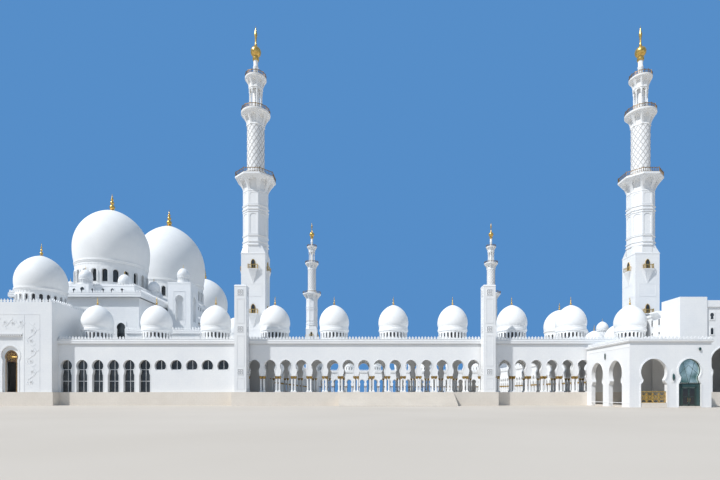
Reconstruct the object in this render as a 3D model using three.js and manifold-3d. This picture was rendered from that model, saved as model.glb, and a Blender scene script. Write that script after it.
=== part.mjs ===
// White marble mosque with an arcaded courtyard, a prayer hall under three great domes and four minarets.
// It is a 1:10 scale model. Sizes below are real metres, turned into model millimetres in one place.
// U runs east along the south front, V runs north, and Z is the height above the ground.
// U is measured from the courtyard's axis, and V from the mirror plane of the whole building.
import * as THREE from 'three';
import { mergeVertices } from 'three/addons/utils/BufferGeometryUtils.js';
import Module from 'manifold-3d';

// Scale and clearance
const MODEL_SCALE = 0.1;
const MODEL_MM_PER_REAL_METRE = 1000 * MODEL_SCALE;
const SEAT = 0.003;

// Grid: one bay carries one small dome and is four arches long
const BAY = 16.25;
const ARCH_PITCH = BAY / 4;

// Levels
const FLOOR = 3.4;
const ARCADE_TOP = 15.9;
const CORNICE_TOP = 16.65;
const PARAPET_TOP = 17.5;
const HALL_TOP = 20.2;
const HALL_CORNICE_TOP = 21;
const HALL_PARAPET_TOP = 21.9;
const UPPER_TOP = 32.3;
const UPPER_CORNICE_TOP = 33.3;
const UPPER_PARAPET_TOP = 34.2;

// Arcades: distance of the wall centre lines from the axis and from the mirror plane
const WALL_THICK = 1.1;
const OVERHANG = 0.4;
const PARAPET_THICK = 0.4;
const COURT_HALF_U = 58.1;
const COURT_HALF_V = 79.2;
const ARCADE_DEPTH = 13.8;
const OUTER_U = COURT_HALF_U + ARCADE_DEPTH;
const OUTER_V = COURT_HALF_V + ARCADE_DEPTH;
const GLASS_THICK = 0.15;

// Prayer hall, west of the courtyard
const HALL_AXIS_U = -112.2;
const HALL_HALF_U = 40.3;
const HALL_HALF_V = 79.0;
const HALL_WALL = 1.2;
const UPPER_HALF_U = 19.0;
const UPPER_HALF_V = 70.8;
const UPPER_OVERHANG = 1.3;
const GREAT_DOME_STEP = 50;
const TURRET_RADIUS = 2.05;

// Portals, gatehouses, gate, wings, pylons, steps
const PORTAL_AXIS_U = -114.5;
const PORTAL_HALF_U = 10.9;
const PORTAL_FRONT_V = 96.2;
const PORTAL_TOP = 26.3;
const PORTAL_RECESS_HALF = 3.5;
const PORTAL_RECESS_TOP = 18;
const PORTAL_RECESS_DEPTH = 0.5;
const PORTAL_ARCH_DEPTH = 0.9;
const PORTAL_PASSAGE_HALF = 2;
const PORTAL_PASSAGE_TOP = 11;
const PORTAL_DOME_RADIUS = 6.2;
const PORTAL_DOME_U = -113;
const PORTAL_DOME_V = 86;
const CROSSING_HALF = 7.1;
const EAST_DOME_RADIUS = 6.8;
const GATEHOUSE_WEST_U = 53.2;
const GATEHOUSE_FRONT_V = 100.1;
const GATEHOUSE_BACK_V = 83.2;
const GATEHOUSE_SCREEN_V = 92.9;
const GATEHOUSE_ROOF = 24;
const GATEHOUSE_TOP = 26.8;
const GATEHOUSE_RECESS_HALF = 5.1;
const GATEHOUSE_RECESS_TOP = 24.4;
const GATEHOUSE_EAVES = 0.9;
const GATEHOUSE_EAVES_V = 89.6;
const GATE_EAST_U = 87;
const GATE_HALF_V = 15;
const GATE_TOP = 26;
const GATE_TURRET_V = 9.1;
const GATE_TURRET_APEX = 34.4;
const GATE_TURRET_RADIUS = 2.5;
const WING_WEST_U = 33.2;
const WING_EAST_U = 51;
const WING_FRONT_V = 113.7;
const WING_WALL = 0.9;
const WING_FLOOR = 0.3;
const WING_TOP = 14.1;
const WING_CORNICE_TOP = 14.6;
const WING_PARAPET_TOP = 15.25;
const PYLON_HALF = 1.5;
const PYLON_TOP = 30.5;
const PYLON_V = OUTER_V + WALL_THICK / 2 + OVERHANG + SEAT + PYLON_HALF;
const PYLON_PLACES_U = [-55.6, 7.3];
const SHUT_ARCHES = [-14, 2];
const STEP_RISE = 0.17;
const STEP_GOING = 0.32;
const STEPS_U = [-30.5, -2];

// Minarets, at the four corners of the courtyard
const MINARET_U = 55.5;
const MINARET_V = 79.5;
const MINARET_HALF = 3.4;

// Double door of the south wing
const DOOR_U = 46.3;
const DOOR_LEAF_WIDTH = 1.4;
const DOOR_LEAF_TOP = 4.25;
const DOOR_LEAF_THICK = 0.12;
const DOOR_GAP = 0.055;
const DOOR_PIVOT_RADIUS = 0.045;
const DOOR_SILL_HALF = 2.4;
const SCREEN_U = 38.5;
const SCREEN_HALF = 2.8;

const PLAN_CENTRE_U = (HALL_AXIS_U - HALL_HALF_U - OVERHANG + GATE_EAST_U + OVERHANG) / 2;

// Finishes
function finish(color, roughness, metalness) {
  return new THREE.MeshStandardMaterial({ color, roughness, metalness });
}
const MARBLE = () => finish(0xf1efea, 0.45, 0);
const STONE = () => finish(0xd9d0c2, 0.6, 0);
const GOLD = () => finish(0xc9962e, 0.35, 1);
const GLASS = () => finish(0x1f2a30, 0.12, 0.1);

// Joining and cutting of closed meshes
const wasm = await Module();
wasm.setup();

function signedVolume(points, triangles) {
  const corners = [new THREE.Vector3(), new THREE.Vector3(), new THREE.Vector3()];
  let total = 0;
  for (let i = 0; i < triangles.length; i += 3) {
    corners.forEach((corner, k) => corner.fromArray(points, triangles[i + k] * 3));
    total += corners[0].dot(corners[1].cross(corners[2])) / 6;
  }
  return total;
}

function toSolid(geometry) {
  geometry.deleteAttribute('normal');
  geometry.deleteAttribute('uv');
  const merged = mergeVertices(geometry);
  const points = new Float32Array(merged.attributes.position.array);
  const triangles = [];
  const index = merged.index.array;
  for (let i = 0; i < index.length; i += 3) {
    const [a, b, c] = index.slice(i, i + 3);
    if (a !== b && b !== c && c !== a) triangles.push(a, b, c);
  }
  if (signedVolume(points, triangles) < 0) triangles.reverse();
  return new wasm.Manifold(new wasm.Mesh({
    numProp: 3,
    vertProperties: points,
    triVerts: new Uint32Array(triangles),
  }));
}

function toGeometry(solid) {
  const mesh = solid.getMesh();
  const geometry = new THREE.BufferGeometry();
  geometry.setAttribute('position', new THREE.BufferAttribute(mesh.vertProperties, 3));
  geometry.setIndex(new THREE.BufferAttribute(mesh.triVerts, 1));
  geometry.scale(MODEL_MM_PER_REAL_METRE, MODEL_MM_PER_REAL_METRE, MODEL_MM_PER_REAL_METRE);
  geometry.computeVertexNormals();
  return geometry;
}

function join(solids) {
  return solids.reduce((whole, solid) => whole.add(solid));
}

function cut(solid, cutters) {
  return cutters.reduce((whole, cutter) => whole.subtract(cutter), solid);
}

// Basic shapes
function block([u0, u1], [v0, v1], [z0, z1]) {
  const geometry = new THREE.BoxGeometry(u1 - u0, v1 - v0, z1 - z0);
  geometry.translate((u0 + u1) / 2, (v0 + v1) / 2, (z0 + z1) / 2);
  return toSolid(geometry);
}

function extrusion(outline, depth) {
  const shape = new THREE.Shape(outline.map(([x, y]) => new THREE.Vector2(x, y)));
  return new THREE.ExtrudeGeometry(shape, { depth, bevelEnabled: false });
}

// A panel whose outline is drawn as seen from the south: pairs of U and Z
function panelAlongU(outline, [v0, v1]) {
  const geometry = extrusion(outline, v1 - v0);
  geometry.rotateX(Math.PI / 2);
  geometry.translate(0, v1, 0);
  return toSolid(geometry);
}

// A panel whose outline is drawn as seen from the east: pairs of V and Z
function panelAlongV(outline, [u0, u1]) {
  const geometry = extrusion(outline, u1 - u0);
  geometry.rotateX(Math.PI / 2);
  geometry.rotateZ(Math.PI / 2);
  geometry.translate(u0, 0, 0);
  return toSolid(geometry);
}

// A turned body from pairs of radius and height
function turned(profile, sides, [u, v], twist = 0) {
  const geometry = new THREE.LatheGeometry(profile.map(([r, z]) => new THREE.Vector2(r, z)), sides);
  geometry.rotateX(Math.PI / 2);
  geometry.rotateZ(twist);
  geometry.translate(u, v, 0);
  return toSolid(geometry);
}

// Square and eight-sided bodies from pairs of half width and height, with a flat side to each front
function turnedFlatSided(profile, sides, centre) {
  const toCorner = 1 / Math.cos(Math.PI / sides);
  return turned(profile.map(([half, z]) => [half * toCorner, z]), sides, centre, Math.PI / sides);
}

function inset([low, high], by) {
  return [low + by, high - by];
}

function ordered(a, b) {
  return a < b ? [a, b] : [b, a];
}

function centresBetween(start, end, pitch) {
  const centres = [];
  for (let n = Math.ceil((start + pitch / 2) / pitch); n * pitch <= end - pitch / 2; n += 1) {
    centres.push(n * pitch);
  }
  return centres;
}

// Arches: half widths and heights up one side, then the crown
const FRONT_ARCH = { side: [[1.5, 6.9], [1.1, 8.6], [1.46, 10.05], [0.95, 11.2]], crown: 11.75 };
const SILL_WINDOW = { side: [[1.12, 9.25], [1.46, 10.05], [0.95, 11.2]], crown: 11.75 };
const SIDE_ARCH = { side: [[1.15, 8.6], [1.46, 10.05]], crown: 11.75 };
const COURT_ARCH = { side: [[1.35, 9.9]], crown: 11.75 };
const WING_ARCH = { side: [[2.45, 5.1], [1.95, 5.6], [2.45, 8.1], [1.72, 9.85]], crown: 10.6 };
const WIDE_WING_ARCH = { side: [[2.85, 5.1], [2.3, 5.6], [2.85, 7.7], [2.05, 9.7]], crown: 10.6 };
const GATEHOUSE_ARCH = { side: [[3.5, 8.2], [3.9, 10.7], [2.8, 13.4]], crown: 14.9 };
const PORTAL_ARCH = { side: [[1.9, 11.2], [2.3, 12.8], [1.6, 14.4]], crown: 15.2 };
const PORTAL_DOORWAY = { side: [[1.25, 11.2], [1.4, 12.4]], crown: 13.9 };
const GATE_PASSAGE = { side: [[4, 12], [3.4, 15]], crown: 17.5 };
const UPPER_WINDOW = { side: [[1.1, 29]], crown: 30.4 };
const END_WINDOW = { side: [[1.3, 23.4]], crown: 24.7 };

function archOutline(centre, foot, { side, crown }) {
  const left = side.map(([half, z]) => [centre - half, z]);
  const right = side.map(([half, z]) => [centre + half, z]).reverse();
  const footHalf = side[0][0];
  return [[centre - footHalf, foot], ...left, [centre, crown], ...right, [centre + footHalf, foot]];
}

function archedOutline([start, end], [foot, top], centres, style) {
  const feet = centres.flatMap((centre) => archOutline(centre, foot, style));
  return [[start, foot], ...feet, [end, foot], [end, top], [start, top]];
}

// Domes: a bulb that starts narrower than its radius, swells above the ring and closes in a blunt point
const SMALL_BULB = { neck: 0.96, swell: 0.13 };
const GREAT_BULB = { neck: 0.95, swell: 0.27 };

function domeCurve(radius, ringZ, apexZ, lowerSteps, upperSteps, { neck, swell } = SMALL_BULB) {
  const wideZ = ringZ + swell * (apexZ - ringZ);
  const neckAngle = Math.acos(neck);
  const height = apexZ - wideZ;
  const sweepRadius = (height ** 2 + radius ** 2) / (2 * radius);
  const sweepAngle = Math.asin(height / sweepRadius);
  const curve = [];
  for (let i = 0; i < lowerSteps; i += 1) {
    const angle = neckAngle * (1 - i / lowerSteps);
    curve.push([radius * Math.cos(angle), wideZ - (wideZ - ringZ) * Math.sin(angle) / Math.sin(neckAngle)]);
  }
  for (let i = 0; i < upperSteps; i += 1) {
    const angle = sweepAngle * (i / upperSteps);
    curve.push([radius - sweepRadius * (1 - Math.cos(angle)), wideZ + sweepRadius * Math.sin(angle)]);
  }
  return curve;
}

// A small solid dome on its drum, with a gilt finial
function smallDome(centre, radius, [baseZ, ringZ, apexZ, tipZ], sides) {
  const spikeRadius = 0.09 * radius;
  return turned([
    [0, baseZ],
    [SMALL_BULB.neck * radius, baseZ],
    ...domeCurve(radius, ringZ, apexZ, 1, 3),
    [spikeRadius, apexZ - 0.02 * radius],
    [0, tipZ],
  ], sides, centre);
}

const ARCADE_DOME_RADIUS = 4.1;
const ARCADE_DOME_LEVELS = [CORNICE_TOP - 0.1, 21.3, 27.35, 29.85];

function arcadeDome(centre) {
  return smallDome(centre, ARCADE_DOME_RADIUS, ARCADE_DOME_LEVELS, 8);
}

function turret(centre, baseZ, apexZ, radius = TURRET_RADIUS) {
  const ringZ = apexZ - 1.5 * radius;
  return smallDome(centre, radius, [baseZ, ringZ, apexZ, apexZ + 1.3], 6);
}

// A roof slab with its cornice and a low parapet round the edge
function parapetRoof(uRange, vRange, [low, corniceTop, parapetTop]) {
  const slab = block(uRange, vRange, [low, corniceTop]);
  const rim = block(uRange, vRange, [corniceTop - 0.1, parapetTop]);
  const inside = block(
    [uRange[0] + PARAPET_THICK, uRange[1] - PARAPET_THICK],
    [vRange[0] + PARAPET_THICK, vRange[1] - PARAPET_THICK],
    [corniceTop, parapetTop + 1],
  );
  return slab.add(rim.subtract(inside));
}

// A hollow block, open below, with a roof of the given thickness
function openBox(uRange, vRange, [low, top], wall, roofThick) {
  const inside = block(
    [uRange[0] + wall, uRange[1] - wall],
    [vRange[0] + wall, vRange[1] - wall],
    [low - 1, top - roofThick],
  );
  return block(uRange, vRange, [low, top]).subtract(inside);
}

// Places taken by tall pieces, grown by the seat clearance, to be cut out of what they pass through
function minaretPlace(sideU, sideV) {
  const half = MINARET_HALF + SEAT;
  const u = sideU * MINARET_U;
  const v = sideV * MINARET_V;
  return block([u - half, u + half], [v - half, v + half], [-1, UPPER_TOP]);
}

function hallPlace() {
  return block(
    [HALL_AXIS_U - HALL_HALF_U - SEAT, HALL_AXIS_U + HALL_HALF_U + SEAT],
    [-HALL_HALF_V - SEAT, HALL_HALF_V + SEAT],
    [-1, UPPER_TOP],
  );
}

function wingPlace(side) {
  const [v0, v1] = ordered(side * (WING_FRONT_V + 1), side * (OUTER_V + WALL_THICK / 2));
  return block([WING_WEST_U - SEAT, WING_EAST_U + SEAT], [v0, v1], [-1, UPPER_TOP]);
}

const building = new THREE.Group();

function addNode(name, solid, material, place = building) {
  const mesh = new THREE.Mesh(toGeometry(solid), material);
  mesh.name = name;
  place.add(mesh);
}

// Podium: the raised floor under the building, with the front steps cut into one body with it
const PODIUM_MARGIN = 0.6;
const PORTAL_U = [PORTAL_AXIS_U - PORTAL_HALF_U, PORTAL_AXIS_U + PORTAL_HALF_U];
const GATEHOUSE_U = [GATEHOUSE_WEST_U, 2 * (COURT_HALF_U + ARCADE_DEPTH / 2) - GATEHOUSE_WEST_U];
const STYLOBATE_V = PYLON_V + PYLON_HALF + PODIUM_MARGIN;
const HALL_WEST_U = HALL_AXIS_U - HALL_HALF_U;
const HALL_EAST_U = HALL_AXIS_U + HALL_HALF_U;

function stepFlight(side) {
  const count = Math.round(FLOOR / STEP_RISE);
  const outline = [[0, 0]];
  for (let i = 1; i <= count; i += 1) {
    outline.push([(i - 1) * STEP_GOING, i * STEP_RISE], [i * STEP_GOING, i * STEP_RISE]);
  }
  outline.push([count * STEP_GOING + 1, FLOOR], [count * STEP_GOING + 1, 0]);
  const frontV = STYLOBATE_V + count * STEP_GOING;
  const placed = outline.map(([run, z]) => [side * (frontV - run), z]);
  return panelAlongV(placed, STEPS_U);
}

function podium() {
  const grow = PODIUM_MARGIN;
  const level = [0, FLOOR];
  const coreV = OUTER_V + WALL_THICK / 2 + grow;
  const reach = PYLON_HALF + grow;
  const pieces = [
    block([HALL_WEST_U - grow, OUTER_U + WALL_THICK / 2 + grow], [-coreV, coreV], level),
    block([PORTAL_U[0] - grow, PORTAL_U[1] + grow], [-PORTAL_FRONT_V - grow, PORTAL_FRONT_V + grow], level),
    block([GATEHOUSE_U[0] - grow, GATEHOUSE_U[1] + grow],
      [-GATEHOUSE_FRONT_V - grow, GATEHOUSE_FRONT_V + grow], level),
    block([PYLON_PLACES_U[0] - reach, PYLON_PLACES_U[1] + reach], [-STYLOBATE_V, STYLOBATE_V], level),
    block([OUTER_U, GATE_EAST_U + grow], [-GATE_HALF_V - grow, GATE_HALF_V + grow], level),
    stepFlight(-1),
  ];
  return cut(join(pieces), [wingPlace(-1), wingPlace(1)]);
}

// Arcade walls
function outerWallV(side) {
  return ordered(side * (OUTER_V - WALL_THICK / 2), side * (OUTER_V + WALL_THICK / 2));
}

function innerWallV(side) {
  return ordered(side * (COURT_HALF_V - WALL_THICK / 2), side * (COURT_HALF_V + WALL_THICK / 2));
}

const WALL_LEVELS = [FLOOR + SEAT, ARCADE_TOP];
const PYLON_SPLIT_U = (SHUT_ARCHES[0] + 0.5) * ARCH_PITCH;

const SILL_WINDOWS_FROM_U = -19.5 * ARCH_PITCH;
const WINDOW_SILL = 9.2;

// The west stretch has tall windows down to the floor, then windows above a sill beside the pylon
function southWallWest() {
  const range = [PORTAL_U[1] + SEAT, PYLON_SPLIT_U - SEAT];
  const centres = centresBetween(range[0], PYLON_SPLIT_U - ARCH_PITCH, ARCH_PITCH);
  const tall = centres.filter((u) => u < SILL_WINDOWS_FROM_U);
  const wall = panelAlongU(archedOutline(range, WALL_LEVELS, tall, FRONT_ARCH), outerWallV(-1));
  const windows = centres.filter((u) => u > SILL_WINDOWS_FROM_U)
    .map((u) => panelAlongU(archOutline(u, WINDOW_SILL, SILL_WINDOW), [-OUTER_V - 1, -OUTER_V + 1]));
  return cut(wall, windows);
}

function southWindowGlass() {
  const range = [PORTAL_U[1] + SEAT, PYLON_SPLIT_U - ARCH_PITCH];
  const face = -OUTER_V + WALL_THICK / 2 + SEAT;
  return block(range, [face, face + GLASS_THICK], [FLOOR + SEAT, FRONT_ARCH.crown + 0.3]);
}

function southWallEast() {
  const range = [PYLON_SPLIT_U, GATEHOUSE_U[0] - SEAT];
  const shutU = SHUT_ARCHES[1] * ARCH_PITCH;
  const isOpen = (u) => Math.abs(u - shutU) > 1 && (u < WING_WEST_U || u > WING_EAST_U);
  const centres = centresBetween(...range, ARCH_PITCH).filter(isOpen);
  return panelAlongU(archedOutline(range, WALL_LEVELS, centres, FRONT_ARCH), outerWallV(-1));
}

function northWall() {
  const range = [PORTAL_U[1] + SEAT, GATEHOUSE_U[0] - SEAT];
  const isOpen = (u) => u < WING_WEST_U || u > WING_EAST_U;
  const centres = centresBetween(...range, ARCH_PITCH).filter(isOpen);
  return panelAlongU(archedOutline(range, WALL_LEVELS, centres, SIDE_ARCH), outerWallV(1));
}

function courtWallAlongU(side) {
  const end = MINARET_U - MINARET_HALF - SEAT;
  const centres = centresBetween(-end, end, ARCH_PITCH);
  return panelAlongU(archedOutline([-end, end], WALL_LEVELS, centres, COURT_ARCH), innerWallV(side));
}

function wallAlongV(centreU, end, style) {
  const centres = centresBetween(-end, end, ARCH_PITCH);
  const across = [centreU - WALL_THICK / 2, centreU + WALL_THICK / 2];
  return panelAlongV(archedOutline([-end, end], WALL_LEVELS, centres, style), across);
}

// Arcade roofs with one dome a bay
const ROOF_LEVELS = [ARCADE_TOP + SEAT, CORNICE_TOP, PARAPET_TOP];
const DOME_LINE_U = COURT_HALF_U + ARCADE_DEPTH / 2;
const DOME_LINE_V = COURT_HALF_V + ARCADE_DEPTH / 2;
const ROOF_EDGE = WALL_THICK / 2 + OVERHANG;

function roofAlongU(side) {
  const uRange = [PORTAL_U[1] + SEAT, GATEHOUSE_U[0] - SEAT];
  const vRange = ordered(side * (OUTER_V + ROOF_EDGE), side * (COURT_HALF_V - ROOF_EDGE));
  const slab = cut(parapetRoof(uRange, vRange, ROOF_LEVELS),
    [hallPlace(), minaretPlace(-1, side), minaretPlace(1, side)]);
  const domes = [];
  for (let bay = -6; bay <= 3; bay += 1) domes.push(arcadeDome([bay * BAY, side * DOME_LINE_V]));
  return join([slab, ...domes]);
}

function roofAlongV([u0, u1], end, domeU, minaretSide, bareBays = []) {
  const slab = cut(parapetRoof([u0, u1], [-end, end], ROOF_LEVELS),
    [minaretPlace(minaretSide, -1), minaretPlace(minaretSide, 1)]);
  const domes = [];
  for (let bay = -4; bay <= 4; bay += 1) {
    if (!bareBays.includes(bay)) domes.push(arcadeDome([domeU, bay * BAY]));
  }
  return join([slab, ...domes]);
}

// Closed gallery on the far side of each portal
function farGallery(side) {
  const uRange = [HALL_WEST_U, PORTAL_U[0] - SEAT];
  const vRange = ordered(side * (OUTER_V + WALL_THICK / 2), side * (HALL_HALF_V + SEAT));
  const shell = openBox(uRange, vRange, [FLOOR + SEAT, CORNICE_TOP], WALL_THICK, CORNICE_TOP - ARCADE_TOP);
  const through = ordered(side * OUTER_V + 1, side * OUTER_V - 1);
  const windows = centresBetween(...uRange, ARCH_PITCH)
    .map((u) => panelAlongU(archOutline(u, FLOOR - 1, SIDE_ARCH), through));
  const roofV = ordered(side * (OUTER_V + ROOF_EDGE), side * (HALL_HALF_V + SEAT));
  const rim = parapetRoof([uRange[0] - OVERHANG, uRange[1]], roofV, [ARCADE_TOP, CORNICE_TOP, PARAPET_TOP]);
  const domes = [-9, -8].map((bay) => arcadeDome([bay * BAY, side * DOME_LINE_V]));
  return join([cut(shell, windows), rim, ...domes]);
}

// Prayer hall
const HALL_U = [HALL_WEST_U, HALL_EAST_U];
const HALL_V = [-HALL_HALF_V, HALL_HALF_V];
const UPPER_U = [HALL_AXIS_U - UPPER_HALF_U, HALL_AXIS_U + UPPER_HALF_U];
const UPPER_V = [-UPPER_HALF_V, UPPER_HALF_V];
const TOWER_U = [HALL_AXIS_U + 21, HALL_AXIS_U + 28.8];
const TOWER_V = [46.2, 53.9];
const TOWER_TOP = 41.1;
const TOWER_DOME_APEX = 46.9;
const TOWER_NICHE = { side: [[1.28, 33.6], [1.4, 35.2]], crown: 36.7 };
const TOWER_NICHE_FOOT = 28;
const TOWER_NICHE_DEPTH = 1.6;
const END_WINDOW_OFFSET = 13.5;

function ringWalls(uRange, vRange, levels, thick) {
  const inside = block(inset(uRange, thick), inset(vRange, thick), [levels[0] - 1, levels[1] + 1]);
  return block(uRange, vRange, levels).subtract(inside);
}

// The way from each portal into the hall
function portalPassage(side) {
  return block([PORTAL_AXIS_U - PORTAL_PASSAGE_HALF, PORTAL_AXIS_U + PORTAL_PASSAGE_HALF],
    ordered(side * (HALL_HALF_V - 3), side * (HALL_HALF_V + 3)), [FLOOR - 1, PORTAL_PASSAGE_TOP]);
}

function hallWalls() {
  const walls = ringWalls(HALL_U, HALL_V, [FLOOR + SEAT, HALL_TOP], HALL_WALL);
  const westWindows = centresBetween(-HALL_HALF_V + 4, HALL_HALF_V - 4, 2 * ARCH_PITCH)
    .map((v) => panelAlongV(archOutline(v, FLOOR - 1, COURT_ARCH), [HALL_U[0] - 1, HALL_U[0] + 2]));
  const eastDoors = [-BAY, 0, BAY]
    .map((v) => panelAlongV(archOutline(v, FLOOR - 1, COURT_ARCH), [HALL_U[1] - 2, HALL_U[1] + 1]));
  const portalDoors = [-1, 1].map((side) => portalPassage(side));
  const notches = [-1, 1].map((side) => notchPlace(side, ARCADE_TOP));
  const lowRoofs = [-1, 1].flatMap((side) => {
    const vRange = ordered(side * (UPPER_HALF_V - HALL_WALL), side * HALL_HALF_V);
    const cheek = (u0, u1) => block([u0, u1], vRange, [ARCADE_TOP - 0.1, HALL_TOP]);
    return [
      block([NOTCH_U[0] - HALL_WALL, NOTCH_U[1] + HALL_WALL], vRange, [ARCADE_TOP, CORNICE_TOP]),
      cheek(NOTCH_U[0] - HALL_WALL, NOTCH_U[0]),
      cheek(NOTCH_U[1], NOTCH_U[1] + HALL_WALL),
    ];
  });
  return cut(join([cut(walls, notches), ...lowRoofs]), [...westWindows, ...eastDoors, ...portalDoors]);
}

// The lower roof stops at each end of the upper block, whose walls run down to a lower roof there
const NOTCH_U = inset(UPPER_U, -SEAT);
const WELL_HALF_V = 62;

function notchPlace(side, low) {
  const vRange = ordered(side * (UPPER_HALF_V - HALL_WALL - SEAT), side * (HALL_HALF_V + 1));
  return block(NOTCH_U, vRange, [low, UPPER_TOP]);
}

function hallRoof() {
  const roof = parapetRoof(inset(HALL_U, -OVERHANG), inset(HALL_V, -OVERHANG),
    [HALL_TOP + SEAT, HALL_CORNICE_TOP, HALL_PARAPET_TOP]);
  const well = block(inset(UPPER_U, HALL_WALL), [-WELL_HALF_V, WELL_HALF_V], [HALL_TOP - 1, UPPER_TOP]);
  const returns = [-1, 1].flatMap((side) => {
    const vRange = ordered(side * UPPER_HALF_V, side * HALL_HALF_V);
    const levels = [HALL_TOP + SEAT, HALL_PARAPET_TOP];
    return [
      block([NOTCH_U[0] - PARAPET_THICK, NOTCH_U[0]], vRange, levels),
      block([NOTCH_U[1], NOTCH_U[1] + PARAPET_THICK], vRange, levels),
    ];
  });
  return join([cut(roof, [well, notchPlace(-1, HALL_TOP - 1), notchPlace(1, HALL_TOP - 1)]), ...returns]);
}

// The end walls of the upper part run down to the low roofs
function upperWalls() {
  const levels = [HALL_CORNICE_TOP + SEAT, UPPER_TOP];
  const outside = block(UPPER_U, UPPER_V, levels);
  const inside = block(inset(UPPER_U, HALL_WALL), inset(UPPER_V, HALL_WALL), [levels[0] - 1, levels[1] + 1]);
  const endWalls = [-1, 1]
    .map((side) => block(UPPER_U, ordered(side * (UPPER_HALF_V - HALL_WALL), side * UPPER_HALF_V),
      [CORNICE_TOP + SEAT, levels[0] + 0.1]));
  const ends = [-END_WINDOW_OFFSET, END_WINDOW_OFFSET].map((offset) => panelAlongU(
    archOutline(HALL_AXIS_U + offset, 18.8, END_WINDOW), [-UPPER_HALF_V - 1, UPPER_HALF_V + 1]));
  const sides = [-GREAT_DOME_STEP, -GREAT_DOME_STEP / 4, GREAT_DOME_STEP / 4, GREAT_DOME_STEP]
    .map((v) => panelAlongV(archOutline(v, 26.5, UPPER_WINDOW), [UPPER_U[0] - 1, UPPER_U[1] + 1]));
  return cut(join([outside.subtract(inside), ...endWalls]), [...ends, ...sides]);
}

const SIDE_DOME = { radius: 12.2, drum: 11.4, ring: 47.3, apex: 67, tip: 73.1, attic: 37.6, sides: 12 };
const MAIN_DOME = { radius: 15.5, drum: 14.6, ring: 52.1, apex: 79.1, tip: 86.7, attic: 41, sides: 16 };
const GREAT_DOMES = [
  { name: 'south', v: -GREAT_DOME_STEP, ...SIDE_DOME },
  { name: 'main', v: 0, ...MAIN_DOME },
  { name: 'north', v: GREAT_DOME_STEP, ...SIDE_DOME },
];
const SHELL_THICK = 0.8;
const ATTIC_MARGIN = 3.2;
const TURRET_APEX = 42.6;

// Places of the turrets round a great dome: the corners and the middles of its square attic
function turretPlaces({ v, drum }) {
  const side = drum + ATTIC_MARGIN;
  const corner = [side - 4.1, side - 2.2];
  return [[0, -side - 1.5], [0, side + 1.5], [-side, 0], [side, 0],
    [-corner[0], -corner[1]], [corner[0], -corner[1]], [-corner[0], corner[1]], corner]
    .map(([du, dv]) => [HALL_AXIS_U + du, v + dv]);
}

function upperRoof() {
  const roof = parapetRoof(inset(UPPER_U, -UPPER_OVERHANG), inset(UPPER_V, -UPPER_OVERHANG),
    [UPPER_TOP + SEAT, UPPER_CORNICE_TOP, UPPER_PARAPET_TOP]);
  const attics = GREAT_DOMES.map(({ v, drum, attic }) => {
    const half = drum + ATTIC_MARGIN;
    const uRange = [HALL_AXIS_U - half, HALL_AXIS_U + half];
    return block(uRange, [v - half, v + half], [UPPER_CORNICE_TOP - 0.1, attic]);
  });
  const wells = GREAT_DOMES.map(({ v, drum, attic, sides }) => turned([
    [0, UPPER_TOP - 1], [drum - SHELL_THICK, UPPER_TOP - 1], [drum - SHELL_THICK, attic + 1], [0, attic + 1],
  ], sides, [HALL_AXIS_U, v]));
  const turrets = [GREAT_DOMES[0], GREAT_DOMES[2]].flatMap(turretPlaces)
    .map((place) => turret(place, UPPER_CORNICE_TOP - 0.1, TURRET_APEX));
  return join([cut(join([roof, ...attics]), wells), ...turrets]);
}

// A great dome: a hollow drum with windows, a ring, and the bulb above it
function greatDome({ v, radius, drum, ring, apex, tip, attic, sides }) {
  const baseZ = attic + SEAT;
  const windowTop = ring - 3.3;
  const shell = turned([
    [0, tip], [0.12 * radius / 4, (apex + tip) / 2], [0.06 * radius, apex - 0.01 * radius],
    ...domeCurve(radius, ring, apex, 2, 5, GREAT_BULB).reverse(),
    [1.03 * drum, ring], [1.03 * drum, ring - 1], [drum, ring - 1],
    [drum, windowTop - 5], [1.04 * drum, windowTop - 5], [1.04 * drum, baseZ],
    [drum - SHELL_THICK, baseZ], [drum - SHELL_THICK, ring - 1],
    ...domeCurve(radius - SHELL_THICK, ring, apex - SHELL_THICK, 1, 4, GREAT_BULB),
    [0, apex - SHELL_THICK],
  ], sides, [HALL_AXIS_U, v]);
  const windows = [];
  for (let i = 0; i < sides / 2; i += 1) {
    const slot = block([-drum - 2, drum + 2], [-0.7, 0.7], [windowTop - 4.2, windowTop]);
    windows.push(slot.rotate([0, 0, ((i + 0.5) * 360) / sides]).translate([HALL_AXIS_U, v, 0]));
  }
  return cut(shell, windows);
}

// Towers on the hall roof beside the upper part, each with three keyhole niches and a small dome
function tower(side) {
  const vRange = ordered(side * TOWER_V[0], side * TOWER_V[1]);
  const middleV = (vRange[0] + vRange[1]) / 2;
  const middleU = (TOWER_U[0] + TOWER_U[1]) / 2;
  const shaft = block(TOWER_U, vRange, [HALL_CORNICE_TOP + SEAT, TOWER_TOP]);
  const endNiches = vRange.map((v) => panelAlongU(archOutline(middleU, TOWER_NICHE_FOOT, TOWER_NICHE),
    [v - TOWER_NICHE_DEPTH, v + TOWER_NICHE_DEPTH]));
  const eastNiche = panelAlongV(archOutline(middleV, TOWER_NICHE_FOOT, TOWER_NICHE),
    [TOWER_U[1] - TOWER_NICHE_DEPTH, TOWER_U[1] + 1]);
  const dome = turret([middleU, middleV], TOWER_TOP - 0.1, TOWER_DOME_APEX);
  return join([cut(shaft, [...endNiches, eastNiche]), dome]);
}

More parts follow.
